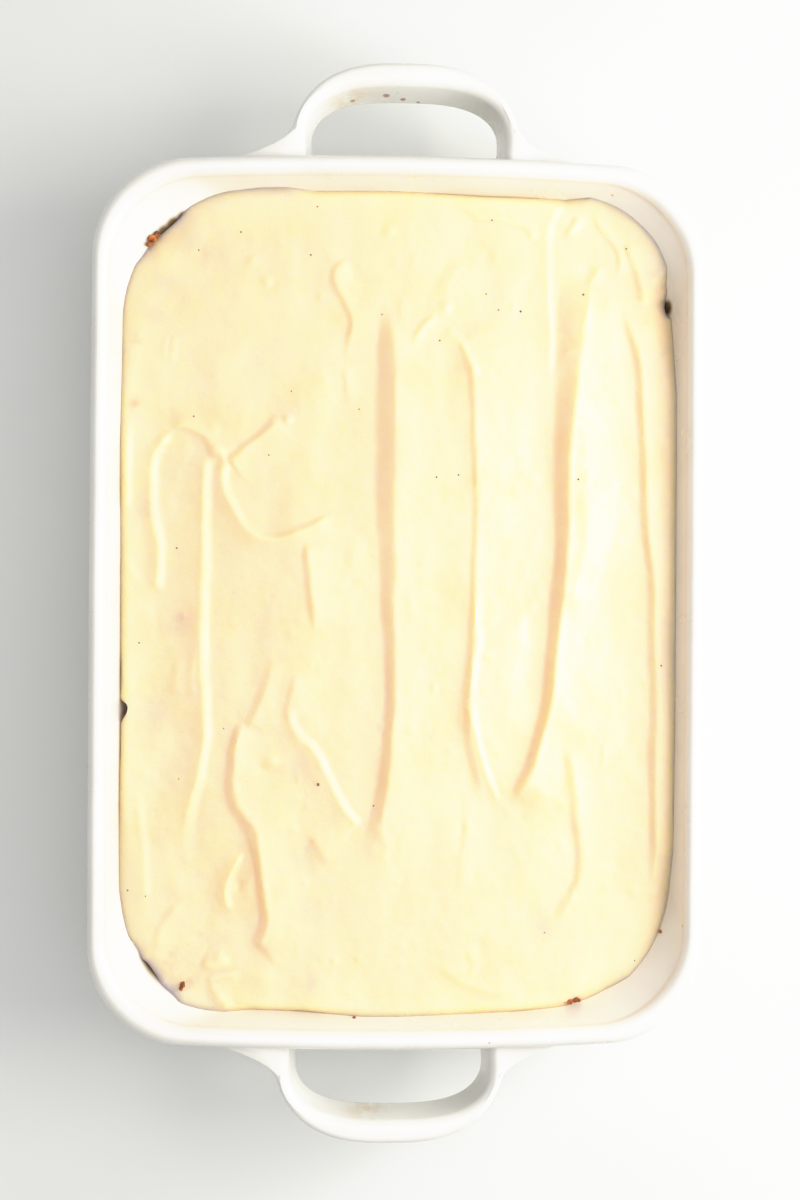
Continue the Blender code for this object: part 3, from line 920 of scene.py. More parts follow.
STROKES = (
    # The three long troughs right of the middle, and the one along the right side.
    Stroke(
        ((-5.5, 123), (-5.5, 111), (-5, 96.5), (-5, 66), (-5, 33.5), (-4, 17.5), (-4, 1), (-3, -15),
         (-2.5, -39.5), (-3.5, -55.5), (-5, -72), (-6.5, -80), (-8, -89), (-9, -100), (-10, -113),
         (-10, -126)),
        rise=3.7, widths=(4.1, 7.3, 8.1, 7.7, 6.1, 4.5, 4.1, 4.9, 5.5, 12, 20), gentle=20,
        fade=(0.1, 0.28), lip=0.08,
    ),
    Stroke(
        ((21.5, 111), (25, 105.5), (28, 98.5), (29.5, 88.5), (30.5, 66), (31.5, 42), (31, 17.5),
         (30.5, -7), (29, -31.5), (28.5, -51.5), (30, -62), (32, -70), (35.5, -79)),
        rise=1.35, widths=(1.6, 2.4, 2.8, 2.4, 2.0, 2.0, 2.4, 3.2, 3.7, 2.8), gentle=12,
        fade=(0.12, 0.08), lip=0.4,
    ),
    Stroke(
        ((74.5, 138.5), (71, 123), (69.5, 102.5), (68, 82.5), (66.5, 50), (67, 33.5), (66.5, 17.5),
         (65, 1), (63.5, -15), (62, -31.5), (60.5, -43.5), (57.5, -55.5), (54.5, -66), (50.5, -74),
         (46.5, -81.5)),
        rise=4.5, widths=(10.6, 12.2, 9.7, 6.9, 6.1, 5.3, 5.3, 4.5, 4.5, 4.1, 3.7, 3.7, 3.2), gentle=18,
        fade=(0.1, 0.1),
    ),
    Stroke(
        ((90.5, 120), (93, 113.5), (95.5, 106), (98, 94.5), (98.5, 82.5), (100, 58), (101, 33.5),
         (103.5, 9.5), (104, -15), (105, -39.5), (104.5, -59.5), (105, -80), (105.5, -100.5),
         (104.5, -120.5)),
        rise=2.5, widths=(2.4, 3.2, 3.2, 2.8, 2.8, 3.2, 3.2, 2.4, 2.0), gentle=10, fade=(0.15, 0.12),
    ),
    # The bank left of the third trough, and the broad slope that catches the light right of it.
    Stroke(
        ((62.5, 82.5), (62.5, 98.5), (62.5, 111), (62, 127), (61.5, 143.5), (62, 153), (64.5, 159.5),
         (68, 163)),
        rise=0.9, widths=(1.6, 2.0, 2.4, 2.8, 2.8, 2.4), gentle=3.2, fade=(0.3, 0.12), lip=0.5,
    ),
    Stroke(
        ((72, -7), (76, 5), (80.5, 17.5), (83, 33.5), (83.5, 50), (83.5, 66), (83, 86.5), (83.5, 107)),
        rise=1.8, widths=(4.9, 8.9, 11.4, 13.8, 16.2, 17.9), gentle=5.7, fade=(0.12, 0.45), lip=0.0,
    ),
    Stroke(
        ((73, 159), (70, 154.5), (66.5, 149)),
        rise=1.4, widths=(2.4,), gentle=1.6, fade=(0.25, 0.25),
    ),
    # The broad backs of sauce that lie between the troughs.
    Stroke(
        ((19, 118), (20, 80), (20, 20), (19, -40), (22, -85)),
        rise=1.8, widths=(18, 22, 22, 18), gentle=26, fade=(0.2, 0.2), lip=0.0,
    ),
    Stroke(
        ((-54, 60), (-56, 20), (-56, -20), (-52, -70)),
        rise=1.8, widths=(28, 36, 28), gentle=24, lip=0.0,
    ),
    Stroke(
        ((50, -58), (50, -40), (50, -18), (51, 0)),
        rise=1.1, widths=(8, 10, 8), gentle=10, lip=0.0,
    ),
    # The sharp crest of the second trough, its arch, and the V where two troughs end.
    Stroke(
        ((43, -81), (40, -74.5), (37.5, -68.5), (35, -60.5), (33.5, -53.5), (32, -46.5), (31, -39.5),
         (31.5, -31.5), (32.5, -23), (34, -16), (33, -8), (32.5, 1), (32.5, 9.5)),
        rise=1.15, widths=(2.4, 2.4, 2.8, 2.8, 2.4, 2.0), gentle=1.2, fade=(0.05, 0.2), lip=0.6,
    ),
    Stroke(
        ((32, 90.5), (31, 96), (28.5, 101.5), (26, 106.5), (22, 110.5), (18.5, 113.5)),
        rise=1.25, widths=(2.8,), gentle=3.7, fade=(0.2, 0.25),
    ),
    Stroke(
        ((15, 117), (12, 115.5), (9.5, 113), (6.5, 108.5), (3, 102.5)),
        rise=1.1, widths=(2.4, 2.4, 2.0, 2.0), gentle=2.0, fade=(0.1, 0.35),
    ),
    Stroke(
        ((-14, -90), (-18, -85.5), (-21, -80.5), (-24.5, -74.5), (-27.5, -68.5), (-30, -62.5),
         (-34, -57.5), (-38.5, -53.5), (-41.5, -48.5), (-41.5, -42)),
        rise=1.85, widths=(2.4, 2.8, 2.4, 2.0), gentle=7.3, fade=(0.04, 0.15), lip=0.45,
    ),
    Stroke(
        ((-41.5, -28), (-43, -36), (-45, -44.5), (-43, -51)),
        rise=0.95, widths=(2.4,), gentle=4.1, fade=(0.25, 0.3), lip=0.2,
    ),
    Stroke(
        ((27.5, -74), (27.5, -92), (26, -108.5), (26, -120.5)),
        rise=0.55, widths=(2.4,), gentle=4.9, lip=0.2,
    ),
    Stroke(
        ((68.5, -57.5), (70, -64.5), (71, -72), (72, -80), (73, -87.5), (74, -95.5), (75, -104.5),
         (74, -111.5), (72, -116), (69.5, -121), (66.5, -126.5), (63.5, -134.5)),
        rise=1.65, widths=(2.0, 3.7, 3.7, 2.4, 2.0, 2.0, 2.4, 3.2, 4.1, 4.9), gentle=6.5,
        fade=(0.1, 0.15),
    ),
    Stroke(
        ((60, -118), (63, -98), (66, -78), (70, -60)),
        rise=1.1, widths=(10, 16, 12), gentle=12, fade=(0.4, 0.4), lip=0.0,
    ),
    Stroke(
        ((84.5, -55), (84, -62), (83.5, -69)),
        rise=0.55, widths=(1.6,), gentle=1.6,
    ),
    Stroke(
        ((62, 13.5), (58, 9.5), (54, 3.5)),
        rise=0.45, widths=(2.0,), gentle=2.0, lip=0.2,
    ),
    Stroke(
        ((78.5, 57), (76, 50), (74, 42), (73, 33.5)),
        rise=0.15, widths=(1.6,), gentle=2.0, lip=0.2,
    ),
    # Folds at the top and in the upper right corner.
    Stroke(
        ((-19.5, 139), (-23.5, 137.5), (-26.5, 135), (-27, 131), (-26, 128), (-24, 124.5), (-22, 120.5),
         (-20, 116.5), (-19.5, 112.5), (-20.5, 108), (-21.5, 102.5), (-22, 97)),
        rise=1.3, widths=(1.6, 2.4, 2.4, 2.0, 2.0, 1.6), gentle=13, fade=(0.12, 0.25), lip=0.35,
    ),
    Stroke(
        ((-22.5, 98), (-22, 91.5), (-21.5, 85.5), (-20, 79)),
        rise=0.8, widths=(2.0,), gentle=3.2, lip=0.4,
    ),
    Stroke(
        ((21.5, 162), (28, 159), (32.5, 156.5), (38.5, 156), (43.5, 154.5), (49.5, 153), (52.5, 151.5),
         (53, 147.5)),
        rise=1.1, widths=(1.6, 2.0, 1.6), gentle=4.9, fade=(0.15, 0.1),
    ),
    Stroke(
        ((78.5, 161), (81, 154), (85, 149.5), (88.5, 144), (89.5, 137.5), (89, 132)),
        rise=1.1, widths=(2.0,), gentle=4.1, fade=(0.2, 0.3),
    ),
    Stroke(
        ((91, 147.5), (94, 141.5), (96.5, 135), (98.5, 129), (99, 122)),
        rise=1.85, widths=(2.0, 2.0, 2.4), gentle=3.2, fade=(0.2, 0.1), lip=0.4,
    ),
    Stroke(
        ((82, 138.5), (79.5, 134.5), (76, 131)),
        rise=0.8, widths=(2.0,), gentle=2.0,
    ),
    Stroke(
        ((26, 143.5), (20.5, 136), (17, 129.5), (16.5, 123)),
        rise=0.7, widths=(4.9,), gentle=4.9, lip=0.0,
    ),
    Stroke(
        ((0, 127), (-0.5, 119), (0, 111)),
        rise=0.6, widths=(3.2,), gentle=4.1, lip=0.1,
    ),
    # The loop on the left where the spoon was set down, and the fold that curves away from it.
    Stroke(
        ((-96.5, 3.5), (-95.5, 11), (-95, 20.5), (-96.5, 29.5), (-98, 37.5), (-98.5, 46), (-98.5, 54),
         (-97, 60), (-93.5, 65), (-89.5, 69.5)),
        rise=2.15, widths=(3.2, 3.2, 3.7, 3.2, 2.8, 2.0), gentle=3.2, fade=(0.06, 0.15), lip=0.5,
    ),
    Stroke(
        ((-91.5, 69), (-87, 70), (-82.5, 68.5), (-78.5, 66), (-76, 61.5), (-75, 57.5)),
        rise=1.85, widths=(2.0, 2.0, 2.4, 2.4), gentle=3.7, fade=(0.2, 0.15), lip=0.5,
    ),
    Stroke(
        ((-67.5, 51.5), (-69.5, 57), (-71.5, 62.5), (-75, 66)),
        rise=1.4, widths=(2.4,), gentle=2.8, fade=(0.2, 0.25), lip=0.5,
    ),
    Stroke(
        ((-26, 37.5), (-31, 34), (-36, 31), (-41, 29), (-46.5, 27), (-52.5, 26.5), (-57.5, 28.5),
         (-61.5, 32), (-64.5, 36.5), (-67, 41.5), (-69, 46.5), (-69.5, 51.5), (-69.5, 56.5)),
        rise=1.55, widths=(2.0, 2.4, 2.4, 2.4, 2.8, 3.2), gentle=4.5, fade=(0.12, 0.06), lip=0.45,
    ),
    Stroke(
        ((-84.5, -105), (-83.5, -93), (-81, -81), (-78.5, -72), (-77, -63), (-76, -53.5), (-76.5, -40),
         (-77.5, -23), (-77.5, -7), (-77, 17.5), (-77, 42), (-76.5, 52), (-76, 59)),
        rise=2.1, widths=(4.1, 3.7, 3.2, 3.2, 3.7, 3.7, 3.7, 4.1), gentle=7.0, fade=(0.15, 0.04),
        lip=0.4,
    ),
    Stroke(
        ((-80.5, -39.5), (-82, -31.5), (-81, -19)),
        rise=0.55, widths=(2.0,), gentle=2.4, lip=0.2,
    ),
    Stroke(
        ((-89.5, -21), (-90.5, -31.5), (-91, -39.5)),
        rise=0.55, widths=(3.2,), gentle=4.1, lip=0.1,
    ),
    Stroke(
        ((-48, 76), (-52.5, 71), (-57, 67), (-62, 63.5), (-66, 59.5), (-69, 57)),
        rise=1.7, widths=(2.0, 2.4, 2.4, 2.0), gentle=8, fade=(0.15, 0.05), lip=0.35,
    ),
    Stroke(
        ((-37.5, 24.5), (-37.5, 17.5), (-36.5, 9.5), (-35.5, 1), (-34.5, -7), (-33, -14.5)),
        rise=1.7, widths=(2.0, 2.8, 2.8, 2.0), gentle=8.1, fade=(0.12, 0.3),
    ),
    Stroke(
        ((-91, 108.5), (-92.5, 102.5), (-93, 95.5)),
        rise=0.95, widths=(1.6,), gentle=1.2, fade=(0.2, 0.2),
    ),
    Stroke(
        ((-93, 95.5), (-94, 102), (-93.5, 107.5)),
        rise=0.6, widths=(1.6,), gentle=1.2, fade=(0.2, 0.2), lip=0.0,
    ),
    Stroke(
        ((-103, 5), (-106, 11), (-109, 16.5)),
        rise=0.55, widths=(2.0,), gentle=2.0, lip=0.4,
    ),
    Stroke(
        ((-98.5, -19), (-98.5, -9), (-99.5, 0.5)),
        rise=0.45, widths=(3.2,), gentle=3.2,
    ),
    Stroke(
        ((-100.5, -124), (-100, -114), (-100.5, -103.5), (-101.5, -93), (-103, -83.5), (-104, -74.5)),
        rise=0.95, widths=(2.4,), gentle=3.2, fade=(0.15, 0.2), lip=0.4,
    ),
    Stroke(
        ((-108.6, 34), (-108.8, 54), (-108.4, 74)),
        rise=1.6, widths=(2.4,), gentle=3.0, fade=(0.2, 0.2),
    ),
    # The torn fold at the lower left, and the small folds that run on from it.
    Stroke(
        ((-50.5, -20), (-53, -30.5), (-56.5, -41), (-61.5, -51)),
        rise=1.1, widths=(3.2,), gentle=6.5, fade=(0.3, 0.1), lip=0.2,
    ),
    Stroke(
        ((-63.5, -48.5), (-65, -55), (-66.5, -61), (-67, -68), (-67.5, -73), (-67, -79), (-65.5, -83.5),
         (-62.5, -87.5), (-59.5, -92), (-58, -96.5), (-56.5, -101.5), (-55.5, -107.5), (-54.5, -115),
         (-53.5, -123), (-53, -129), (-54.5, -135), (-58, -138.5)),
        rise=2.95, widths=(2.0, 2.4, 3.7, 4.5, 3.7, 4.9, 5.7, 3.2, 2.4, 3.2, 4.1, 3.7), gentle=10,
        fade=(0.06, 0.05), lip=0.4,
    ),
    Stroke(
        ((-66, -125.5), (-67, -121.5), (-67.5, -116.5), (-66, -111.5), (-63.5, -106.5), (-61, -101)),
        rise=1.7, widths=(2.0, 2.4, 2.0), gentle=2.8, fade=(0.15, 0.15), lip=0.5,
    ),
    Stroke(
        ((-58, -122), (-58, -116.5), (-58, -110.5)),
        rise=0.6, widths=(2.4,), gentle=2.0, lip=0.4,
    ),
    # The swirls in the lower left corner and along the lower edge.
    Stroke(
        ((-87.5, -122), (-92, -126.5), (-95, -131), (-97, -137), (-97, -143.5)),
        rise=1.25, widths=(2.4, 2.8, 2.4), gentle=5.7, fade=(0.15, 0.2), lip=0.2,
    ),
    Stroke(
        ((-79, -147.5), (-75, -149), (-70, -148), (-66, -145)),
        rise=1.55, widths=(3.2,), gentle=4.1, fade=(0.2, 0.2),
    ),
    Stroke(
        ((-63, -150), (-68, -150.5), (-73, -151.5), (-77, -153)),
        rise=1.1, widths=(1.6,), gentle=2.0, fade=(0.2, 0.2), lip=0.5,
    ),
    Stroke(
        ((-69.5, -138.5), (-72, -142.5), (-74, -146)),
        rise=0.6, widths=(2.0,), gentle=2.4, lip=0.4,
    ),
    Stroke(
        ((-62.5, -166), (-66.5, -163.5), (-69, -160.5), (-71, -157)),
        rise=1.25, widths=(2.4,), gentle=2.4, fade=(0.2, 0.25), lip=0.5,
    ),
    Stroke(
        ((-76, -155), (-73.5, -159.5), (-70.5, -163), (-67, -165.5)),
        rise=1.1, widths=(3.2,), gentle=3.2, fade=(0.2, 0.2), lip=0.2,
    ),
    Stroke(
        ((17.5, -146), (21, -151), (26.5, -155), (33.5, -157.5), (41.5, -159.5), (50, -159.5)),
        rise=0.8, widths=(3.2,), gentle=5.7, fade=(0.25, 0.25), lip=0.1,
    ),
    Stroke(
        ((-35.5, -93), (-33.5, -97.5), (-30.5, -103), (-26.5, -108.5)),
        rise=0.8, widths=(3.7,), gentle=5.7, fade=(0.25, 0.3), lip=0.1,
    ),
    Stroke(
        ((28, -140), (30.5, -145), (32.5, -150.5)),
        rise=0.55, widths=(2.0,), gentle=3.2, fade=(0.3, 0.2),
    ),
)

# Clots and bubbles, in millimetres: place, how wide across and along, and how high.
CLOTS = (
    ((-53.5, 130), (2.0, 2.0), 0.8),
    ((-4, 151), (2.8, 2.4), 1.0),
    ((-32, 124.5), (1.6, 1.6), 0.5),
    ((-59.5, 138.5), (2.0, 2.0), 0.6),
    ((-45, 74), (2.0, 1.6), 1.0),
    ((-50.5, -64.5), (3.2, 2.8), 1.1),
    ((-55, -67.5), (2.0, 1.6), -0.6),
    ((19, 120.5), (2.4, 2.4), 1.0),
    ((31.5, -150.5), (1.2, 1.2), 0.6),
    ((106.5, -118), (1.6, 2.0), 0.8),
    ((-69.5, 61.5), (2.4, 3.2), 0.6),
    ((-54, -151), (5.7, 5.7), 0.7),
    ((-88, -115), (2.4, 4.1), 0.5),
    ((-84.5, -103.5), (2.0, 3.2), 0.4),
    ((-18, 20.5), (3.2, 5.7), 0.6),
    ((5.5, -51), (2.0, 2.0), 0.4),
    ((55, -1), (2.0, 2.0), 0.4),
    ((37, -21), (2.0, 2.0), 0.4),
    ((80, 136), (1.6, 1.6), 0.6),
    ((104.5, 133), (1.6, 2.0), 0.5),
    ((86, 163.5), (2.0, 1.2), 0.5),
    ((-36.5, -114), (1.2, 1.2), 0.5),
    ((-24.5, -146), (1.6, 1.6), 0.5),
    ((-26.5, -146), (1.2, 1.2), -0.5),
    ((-40, -79.5), (1.6, 1.6), 0.5),
    ((15, -34.5), (1.2, 2.0), 0.5),
    ((21.5, -59), (1.6, 1.6), 0.3),
    ((6, -2), (2.0, 3.2), 0.4),
    ((50.5, -11), (3.2, 8.1), 0.4),
    ((12, 17.5), (4.1, 4.9), 0.3),
    ((55.5, 50.5), (2.4, 2.0), 0.5),
    ((48, 46.5), (2.0, 2.4), 0.4),
    ((-82.5, 146), (3.7, 3.7), 0.4),
    ((-92, -144), (2.0, 1.6), -0.7),
    ((-63.5, -115), (1.6, 2.4), -0.9),
    ((-80.5, -136), (2.0, 1.6), -0.4),
    ((27, -92), (1.2, 2.0), -0.6),
    ((-84.5, -155.5), (2.4, 2.0), -1.2),
    ((112, 126), (9.0, 20.0), -1.8),
)
SMALL_CLOTS = 240
STROKE_DEPTH = 0.86
# Waves in the surface: how high in millimetres, how far drawn out along Y, waves to the metre, and seed.
WAVES = (
    (0.70, 0.6, 20.0, 3.3),
    (0.55, 0.5, 62.0, 5.5),
    (0.38, 0.6, 105.0, 7.7),
    (0.18, 0.8, 240.0, 9.9),
)
LEFT_DROP = 2.6
LEFT_DROP_START = 10.0
LEFT_DROP_WIDTH = 110.0
EDGE_CURVE_WIDTH = 3.6
CORNER_CURVE_WIDTH = 14.0


def turn_to(x, y):
    """The direction of places from the middle, evened out for the sauce's length."""
    return np.arctan2(y / CREAM_HALF_LENGTH, x / CREAM_HALF_WIDTH)


def edge_height(x, y):
    """How high the sauce reaches on the wall in the direction of places."""
    around = []
    for (place_x, place_y), height in EDGE_HEIGHTS:
        around.append((turn_to(place_x * MM, place_y * MM), height * MM))
    turns, heights = zip(*sorted(around))
    return np.interp(turn_to(x, y), turns, heights, period=2.0 * math.pi)


def edge_distance(x, y):
    """How far inside the sauce's outline places are, in metres."""
    height = edge_height(x, y)
    half_width, half_length = half_sizes(inner_inset(height))
    corner = inner_corner(height)
    unbowed = np.abs(y) + SHORT_SIDE_BOW * (x / RIM_HALF_WIDTH) ** 2
    past_x = np.abs(x) - half_width + corner
    past_y = unbowed - half_length + corner
    outside = np.hypot(np.maximum(past_x, 0.0), np.maximum(past_y, 0.0))
    inside = np.minimum(np.maximum(past_x, past_y), 0.0)
    return np.maximum(corner - outside - inside, 0.0)


def edge_gap(x, y):
    """How far the sauce stands off from the wall near places, in metres."""
    gap = np.zeros(len(x))
    for (middle_x, middle_y), reach, width in EDGE_GAPS:
        distance = np.hypot(x / MM - middle_x, y / MM - middle_y)
        gap = np.maximum(gap, width * MM * np.exp(-((distance / reach) ** 4)))
    return gap


def clot_lift(x, y):
    """The small round lumps: those that show clearly, and a scatter of tiny ones."""
    scatter = random.Random(7)
    small = []
    for _ in range(SMALL_CLOTS):
        place = (scatter.uniform(-108, 108), scatter.uniform(-160, 160))
        width = scatter.uniform(0.9, 1.9)
        length = width * scatter.uniform(0.8, 1.6)
        small.append((place, (width, length), scatter.uniform(-0.30, 0.45)))
    lift = np.zeros(len(x))
    for (middle_x, middle_y), (across, along), rise in list(CLOTS) + small:
        close = (np.abs(x - middle_x) < 3 * across) & (np.abs(y - middle_y) < 3 * along)
        far = ((x[close] - middle_x) / across) ** 2 + ((y[close] - middle_y) / along) ** 2
        lift[close] += rise * np.exp(-far)
    return lift


def cream_height(x, y):
    """The top of the white sauce at places in metres."""
    sway_x = x / MM + 0.35 * lumps(x, y, 90.0, 1.3)
    sway_y = y / MM + 0.35 * lumps(x, y, 90.0, 6.1)
    raised = STROKE_DEPTH * sum(stroke.lift(sway_x, sway_y) for stroke in STROKES)
    raised += clot_lift(x / MM, y / MM)
    for rise, stretch, scale, seed in WAVES:
        raised += rise * lumps(x, y * stretch, scale, seed)
    raised -= LEFT_DROP * smooth_step((-x / MM - LEFT_DROP_START) / LEFT_DROP_WIDTH)
    in_corner = smooth_step((np.abs(x * y) / (CREAM_HALF_WIDTH * CREAM_HALF_LENGTH) - 0.45) / 0.35)
    curve_width = (EDGE_CURVE_WIDTH + CORNER_CURVE_WIDTH * in_corner) * MM
    held = 1.0 - np.minimum(edge_distance(x, y) / curve_width, 1.0)
    edge = edge_height(x, y) - 1.2 * edge_gap(x, y)
    return edge + (CREAM_TOP + raised * MM - edge) * (1.0 - held**2.3)


def cream_outline(across, along, height, wall_gap):
    """The grid's places at one height, or at a height for each, drawn in where the edge stands off."""
    x, y = fit_to_dish(across, along, height, wall_gap)
    gap = edge_gap(x, y)
    wobble = 0.35 * MM * lumps(x, y, 130.0, 12.4)
    near_edge = np.maximum(np.abs(across), np.abs(along)) ** 14
    drawn = (gap + np.where(gap > 0.2 * MM, wobble, 0.0)) * near_edge
    kept = 1.0 - drawn / np.maximum(np.hypot(x, y), 1e-6)
    return x * kept, y * kept


def cream_surface(across, along):
    """The grid's places over the top of the white sauce."""
    height = edge_height(across * CREAM_HALF_WIDTH, along * CREAM_HALF_LENGTH)
    x, y = cream_outline(across, along, height, -0.2 * MM)
    return x, y, cream_height(x, y)


def cream_sides(across, along, top):
    """The sides, from the edge on the wall down to the slices."""
    for share in (0.3, 0.7, 1.0):
        height = top[:, 2] + (CREAM_BOTTOM - top[:, 2]) * share
        yield (*cream_outline(across, along, height, 0.3 * MM * share), height)


# Where the layer is thin, so that the slices under it show grey, or the mince pink: place and reach, in
# millimetres.
THIN_SPOTS = (
    ((-84.5, 147), 7),
    ((-73, 141), 8),
    ((-94, 128), 6),
    ((-98.8, 116.5), 5),
    ((-102, 38), 5),
    ((-97.5, -47), 8),
    ((-89, -8), 6),
    ((-38.5, -67), 6),
    ((-35, -103), 6),
    ((-35, -125), 6),
    ((-34, -155), 4),
    ((60.5, -131.5), 6),
    ((107.5, 121.5), 4.5),
    ((105, 138), 9),
    ((110, 100), 8),
)
PINK_SPOTS = (
    ((-106, 105.5), 3),
    ((-107, 80), 2.5),
    ((-87.5, -7), 2.5),
    ((103, 114.5), 3),
    ((-92, -148), 3),
    ((-88.5, -151), 2.5),
    ((-99, 33), 2),
)


def nearness(x, y, spots):
    """The greatest nearness, from 0 to 1, to any of the spots."""
    share = np.zeros(len(x))
    for (middle_x, middle_y), reach in spots:
        distance = np.hypot(x / MM - middle_x, y / MM - middle_y)
        share = np.maximum(share, np.exp(-((distance / reach) ** 2)))
    return share


def add_values(mesh, name, values):
    """Keeps one number for each vertex of a mesh, for its material to read."""
    layer = mesh.attributes.new(name, "FLOAT", "POINT")
    layer.data.foreach_set("value", values.astype(np.float32))


CREAM = (0.99, 0.688, 0.445, 1.0)
CREAM_DEEP = (0.98, 0.645, 0.365, 1.0)
CREAM_THIN = (0.66, 0.58, 0.42, 1.0)
CREAM_PINK = (0.72, 0.42, 0.27, 1.0)
CREAM_EDGE_SHADE = (0.95, 0.67, 0.27, 1.0)
FLECK_BROWN = (0.62, 0.42, 0.20, 1.0)


def make_white_sauce():
    """Thick white sauce: light scatters in it, the layer under it shows where it is thin, and a painted
    shade line runs along its edge at the wall.
    """
    constants = {
        "Subsurface Weight": 0.8,
        "Subsurface Radius": (0.0105, 0.0100, 0.0010),
        "Subsurface Scale": 1.0,
        "Coat Weight": 0.12,
        "Coat Roughness": 0.25,
        "IOR": 1.42,
    }
    made, wire, shader = new_material("white_sauce", constants)
    place = object_place(wire)
    thin = wire.node("ShaderNodeAttribute", {"attribute_name": "thin"}, output=2)
    pink = wire.node("ShaderNodeAttribute", {"attribute_name": "pink"}, output=2)
    edge = wire.node("ShaderNodeAttribute", {"attribute_name": "edge"}, output=2)
    broken = between(wire, grain(wire, place, 130.0, 4.0), 0.35, 0.65)
    cloudy = between(wire, grain(wire, place, 48.0, 3.0), 0.40, 0.75)
    colour = blend_colours(wire, cloudy * 0.6, CREAM, CREAM_DEEP)
    colour = blend_colours(wire, thin * (0.35 + 0.35 * broken), colour, CREAM_THIN)
    colour = blend_colours(wire, pink * broken * 0.7, colour, CREAM_PINK)
    # Painted shade: a warmer, darker line along the edge where the sauce meets the wall.
    colour = blend_colours(wire, edge * 0.8, colour, CREAM_EDGE_SHADE)
    flecks = between(wire, grain(wire, place, 1500.0, 2.0), 0.72, 0.80)
    colour = blend_colours(wire, flecks * 0.12, colour, FLECK_BROWN)
    feed(shader, "Base Color", colour)
    fine = grain(wire, place, 650.0, 3.0, 0.6)
    feed(shader, "Roughness", 0.36 + 0.20 * fine)
    feed(shader, "Normal", bump(wire, fine, 0.00012))
    return made


cream = food_layer("white_sauce_spread", CREAM_COLUMNS, CREAM_ROWS, cream_surface, cream_sides)
places = vertex_places(cream.data)
add_values(cream.data, "thin", nearness(places[:, 0], places[:, 1], THIN_SPOTS))
add_values(cream.data, "pink", nearness(places[:, 0], places[:, 1], PINK_SPOTS))
# Nearness to the sauce's edge, for the painted shade line along the wall.
from_edge = edge_distance(places[:, 0], places[:, 1])
add_values(cream.data, "edge", 1.0 - np.clip(from_edge / (EDGE_CURVE_WIDTH * MM), 0.0, 1.0))
cream.data.materials.append(make_white_sauce())
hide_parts("bechamel")
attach(cream, "root")


# Grains of pepper and nutmeg, ground and stirred into the white sauce. A few dozen dark specks, mostly
# under a millimetre across, lie in its surface.

# Those that show clearly, in millimetres: place and size.
SPECKS = (
    (-31.5, -74, 1.2),
    (-64.5, 150, 0.75),
    (-36, 141, 0.75),
    (-81.5, 142.5, 0.68),
    (-7, 117, 0.6),
    (37.5, 156, 0.75),
    (40.5, 119.5, 0.68),
    (49.5, 119, 0.9),
    (75, 126, 0.9),
    (92.5, 145, 0.68),
    (35.5, 126, 0.6),
    (16.5, 106.5, 0.68),
    (15.5, 51, 0.75),
    (24.5, 52, 0.83),
    (73, 50.5, 0.83),
    (108, -25, 0.75),
    (-89.5, 21.5, 0.75),
    (-83, 75, 0.68),
    (-104.5, -17, 0.68),
    (-70, -51.5, 0.6),
    (-52.5, 59.5, 0.68),
    (-43.5, 85.5, 0.6),
    (-16, 78.5, 0.6),
    (-88, -72, 0.6),
    (-9, -82.5, 0.68),
    (-108.5, -117.5, 0.75),
    (-101, -119.5, 0.6),
    (61, -134, 0.6),
    (98.5, -146, 0.6),
    (-33.5, 160.5, 0.6),
)
SMALL_SPECKS = 60
PEPPER = (0.035, 0.030, 0.028, 1.0)
NUTMEG = (0.24, 0.16, 0.09, 1.0)


def make_speck(place, size, seed):
    """One uneven grain, pressed a little into the surface."""
    bpy.ops.mesh.primitive_ico_sphere_add(subdivisions=2, radius=0.5, location=(0, 0, 0))
    speck = bpy.context.object
    for vertex in speck.data.vertices:
        vertex.co *= 1.0 + 0.5 * noise.noise(vertex.co * 2.4 + Vector((seed, 0.0, 0.0)))
        vertex.co.z *= 0.55
    turn = Euler((0.0, 0.0, seed * 2.1)).to_matrix().to_4x4()
    speck.data.transform(Matrix.Translation(place) @ turn @ Matrix.Scale(size, 4))
    return speck


def make_spice():
    """Ground pepper and nutmeg: dark brown to grey."""
    made, wire, shader = new_material("ground_spice", {})
    place = object_place(wire)
    shade = grain(wire, place, 90.0, 1.0)
    feed(shader, "Base Color", blend_colours(wire, shade, PEPPER, NUTMEG))
    feed(shader, "Roughness", 0.45 + 0.2 * shade)
    return made


scatter = random.Random(11)
speck_places = list(SPECKS)
for _ in range(SMALL_SPECKS):
    x = scatter.uniform(-105, 105)
    y = scatter.uniform(-158, 158)
    speck_places.append((x, y, scatter.uniform(0.16, 0.30)))
speck_x = np.array([x * MM for x, y, size in speck_places])
speck_y = np.array([y * MM for x, y, size in speck_places])
specks = []
for (x, y, size), height in zip(speck_places, cream_height(speck_x, speck_y)):
    place = Vector((x * MM, y * MM, height + 0.10 * size * MM))
    specks.append(make_speck(place, size * MM, len(specks) * 1.7))
spice = join_pieces("spice_specks", specks)
spice.data.materials.append(make_spice())
bpy.ops.object.shade_smooth()
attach(spice, "root")


# Crumbs of mince, wet with orange, oily tomato sauce. They were pushed up between the white sauce and the
# dish's wall while the sauce was spread, and each is a few grains stuck together.

# Place and size, in millimetres.
CRUMBS = (
    ((-100.4, 147.0, 48.2), 2.8),
    ((-98.6, 148.6, 47.8), 2.2),
    ((-101.6, 144.8, 48.0), 1.9),
    ((72.0, -162.6, 47.6), 2.6),
    ((74.2, -162.2, 48.0), 2.2),
    ((75.8, -162.4, 47.8), 1.5),
    ((70.0, -162.9, 47.2), 1.4),
    ((109.3, -134.4, 47.8), 1.7),
    ((-16.2, -168.6, 51.2), 1.3),
    ((-85.6, -154.9, 50.6), 2.1),
    ((-86.3, -156.6, 50.5), 1.7),
)


